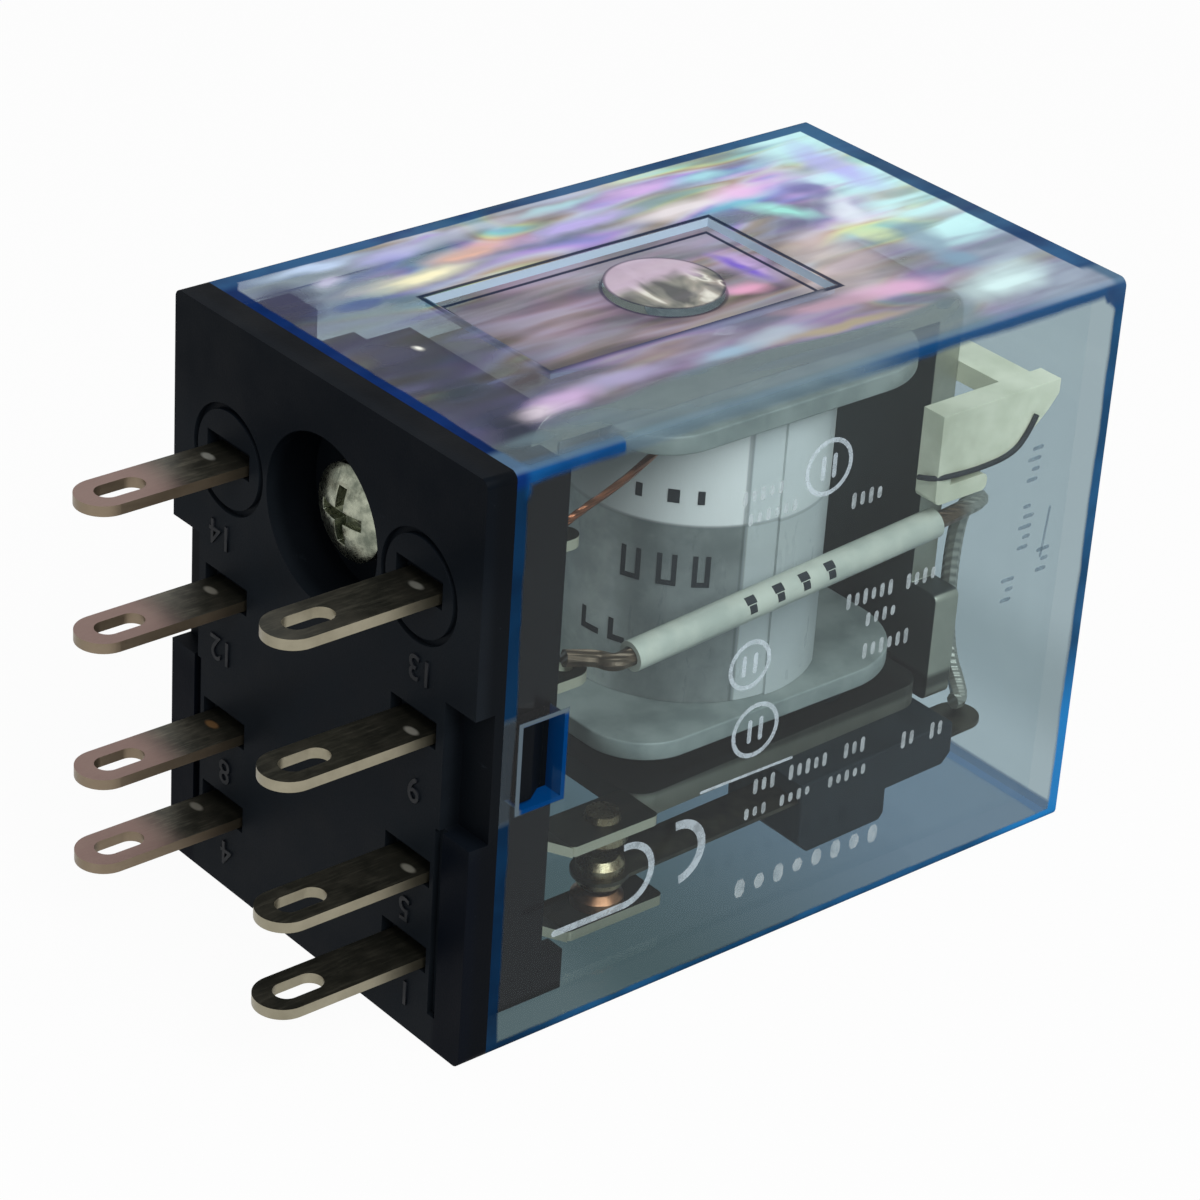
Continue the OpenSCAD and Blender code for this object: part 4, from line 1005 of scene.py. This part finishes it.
# Numbers beside the blades: y and z of the middle of each
NUMBERS = {
    "13": (-7.1, 3.85),
    "14": (7.1, 3.75),
    "9": (-7.0, -1.9),
    "12": (6.9, -1.9),
    "5": (-6.7, -7.95),
    "8": (6.5, -7.9),
    "1": (-7.0, -12.1),
    "4": (6.3, -12.1)}
# Size of the type, then half its depth, its rounding, and how far out its middle stands
NUMBER_SIZE, NUMBER_HALF_DEPTH, NUMBER_ROUND, NUMBER_OUT = 1.7, 0.04, 0.015, 0.03

# Radius of the thin guide wire, which also paints the shade in the gap under the near cheek, and the points
# that steer it from its hooked far end
WIRE_RADIUS = 0.13
WIRE_ROUTE = (
    (33.2, -8.95, 7.3),
    (32.8, -8.95, 6.5),
    (31.9, -8.95, 5.65),
    (29.8, -8.95, 5.5),
    (27.9, -8.9, 5.6),
    (27.2, -8.6, 5.55),
    (27.1, -7.9, 5.4))


def tape_patch(bm, start, stop, low, high):
    """A patch of ink round the coil from start to stop, in degrees, between two heights."""
    steps = max(2, int(abs(stop - start) / INK_STEP))
    turns = [math.radians(start + (stop - start) * i / steps) for i in range(steps + 1)]
    rows = []
    for z in (low, high):
        for r in (TAPE_INK_RADIUS, TAPE_INK_RADIUS + INK):
            rows.append([bm.verts.new((COIL_X + r * math.cos(a), r * math.sin(a), z)) for a in turns])
    low_in, low_out, high_in, high_out = rows
    join(bm, low_out, high_out, False)
    join(bm, low_in, low_out, False)
    join(bm, high_in, high_out, False)
    for end in (0, -1):
        bm.faces.new((low_in[end], low_out[end], high_out[end], high_in[end]))


def tape_print(materials):
    """Dark bars that follow the round of the taped coil."""
    bm = bmesh.new()
    for start, stop in CUPS:
        tape_patch(bm, start, start + CUP_STROKE, CUP_LOW, CUP_HIGH)
        tape_patch(bm, stop - CUP_STROKE, stop, CUP_LOW, CUP_HIGH)
        tape_patch(bm, start, stop, CUP_LOW, CUP_FLOOR)
    for start, stop in BLOCKS:
        tape_patch(bm, start, stop, BLOCK_LOW, BLOCK_HIGH)
    for start, stop in CORNERS:
        tape_patch(bm, start, stop, CORNER_LOW, CORNER_FLOOR)
        tape_patch(bm, start, start + CORNER_STROKE, CORNER_LOW, CORNER_HIGH)
    add_bmesh("tape_print", bm, materials["print_dark"])


def sleeve_print(materials):
    """Small dark marks wrapped on the near sleeve."""
    low, high = box_mm("lead_sleeve_9")
    middle_y = (low.y + high.y) / 2
    r = (high.y - low.y) / 2
    start = Vector((low.x, middle_y, low.z + r))
    stop = Vector((high.x, middle_y, high.z - r))
    axis = (stop - start).normalized()
    out = axis.cross(Y).normalized()
    if out.z < 0:
        out.negate()
    bm = bmesh.new()
    for x in SLEEVE_MARKS:
        middle = start + axis * (x - start.x)
        for length, tilt in SLEEVE_STROKES:
            along = axis * length / 2
            loops = []
            for k in range(STROKE_STEPS + 1):
                a = math.radians(tilt - STROKE_ARC / 2 + STROKE_ARC * k / STROKE_STEPS)
                away = out * math.cos(a) - Y * math.sin(a)
                corners = ((-1, r), (1, r), (1, r + INK), (-1, r + INK))
                loops.append([bm.verts.new(middle + along * u + away * q) for u, q in corners])
            for a_loop, b_loop in zip(loops, loops[1:]):
                join(bm, a_loop, b_loop)
            bm.faces.new(loops[0])
            bm.faces.new(loops[-1])
    add_bmesh("sleeve_print", bm, materials["print_dark"])


def terminal_numbers(materials):
    """Raised numbers on the seating face, one beside each blade."""
    for word, (y, z) in NUMBERS.items():
        name = "number_" + word
        text = bpy.data.curves.new(name, "FONT")
        text.body = word
        text.size = NUMBER_SIZE * MM
        text.extrude = NUMBER_HALF_DEPTH * MM
        text.bevel_depth = NUMBER_ROUND * MM
        text.align_x = "CENTER"
        text.align_y = "CENTER"
        mesh = curve_mesh(name, text)
        # the text's own x, y and z turned to +Y, -Z and -X
        mesh.transform(Matrix((
            (0, 0, -1, -NUMBER_OUT * MM),
            (1, 0, 0, y * MM),
            (0, -1, 0, z * MM),
            (0, 0, 0, 1))))
        add_piece(name, mesh, materials["relief_dark"])


def guide_wire_and_shade(materials):
    """Thin dark wire along the lower edge of the near cheek, hooked up at its far end; it also stands for
    the shade in the gap under the cheek, as painted shade.
    """
    curve = bpy.data.curves.new("guide_wire_and_shade", "CURVE")
    curve.dimensions = "3D"
    curve.bevel_depth = WIRE_RADIUS * MM
    curve.bevel_resolution = 3
    line = curve.splines.new("NURBS")
    line.points.add(len(WIRE_ROUTE) - 1)
    for point, (x, y, z) in zip(line.points, WIRE_ROUTE):
        point.co = (x * MM, y * MM, z * MM, 1)
    line.order_u = 3
    line.use_endpoint_u = True
    mesh = curve_mesh("guide_wire_and_shade", curve)
    mesh.shade_smooth()
    add_piece("guide_wire_and_shade", mesh, materials["print_dark"])


# Stage

# Strength of the white room; the floor's half side, height, colour and share of glow
ROOM_AS_LIGHT, ROOM_AS_SEEN = 0.5, 1.0
FLOOR_HALF = 1500
FLOOR_Z = COVER_LOW.z - 0.02
FLOOR_GREY, FLOOR_GLOW = (0.45, 0.45, 0.45, 1), 0.96
# Square lamps: name, place in millimetres, side in metres, power in watts
LAMPS = (
    ("key", (-20, -220, 240), 0.22, 1.3),
    ("front", (-300, -100, 60), 0.2, 0.25))
LAMP_AIM = Vector((16, 0, 0))


def build_room():
    """An even white room, brighter where it is seen than as a light."""
    world = bpy.data.worlds.new("soft_room")
    world.use_nodes = True
    SCENE.world = world
    room = NodeTree(world.node_tree)
    level = room.span(viewed(room), 0.0, 1.0, ROOM_AS_LIGHT, ROOM_AS_SEEN)
    glow = room.add("Background", {"Color": WHITE, "Strength": level}).outputs[0]
    room.add("OutputWorld", {"Surface": glow})


def build_floor():
    """A white sheet under the relay, nearly full white where it is seen."""
    half = FLOOR_HALF * MM
    corners = [(x * half, y * half, FLOOR_Z * MM) for x, y in ((-1, -1), (1, -1), (1, 1), (-1, 1))]
    mesh = bpy.data.meshes.new("floor")
    mesh.from_pydata(corners, [], [(0, 1, 2, 3)])
    floor = bpy.data.objects.new("floor", mesh)
    SCENE.collection.objects.link(floor)
    p = Paint("white_sheet")
    bright = p.add("Emission", {"Color": WHITE, "Strength": 1.0}).outputs[0]
    mesh.materials.append(p.done(p.both(p.times(viewed(p), FLOOR_GLOW), p.matt(FLOOR_GREY), bright)))


def build_lamps():
    """A soft key lamp above the near side, and a weak one at the blades' end."""
    for name, spot, side, power in LAMPS:
        data = bpy.data.lights.new(name, "AREA")
        data.shape = "SQUARE"
        data.size = side
        data.energy = power
        lamp = bpy.data.objects.new(name, data)
        SCENE.collection.objects.link(lamp)
        lamp.location = Vector(spot) * MM
        lamp.rotation_euler = (LAMP_AIM - Vector(spot)).to_track_quat("-Z", "Y").to_euler()
        lamp.visible_camera = False


def main():
    aim_camera()
    materials = build_materials()
    dress(materials)
    for node, width in EDGE_BREAKS.items():
        rounded(node, width, materials)
    print_rows(materials)
    print_marks(materials)
    print_side(materials)
    tape_print(materials)
    sleeve_print(materials)
    terminal_numbers(materials)
    guide_wire_and_shade(materials)
    build_room()
    build_floor()
    build_lamps()
    SCENE.view_settings.view_transform = "Standard"


main()
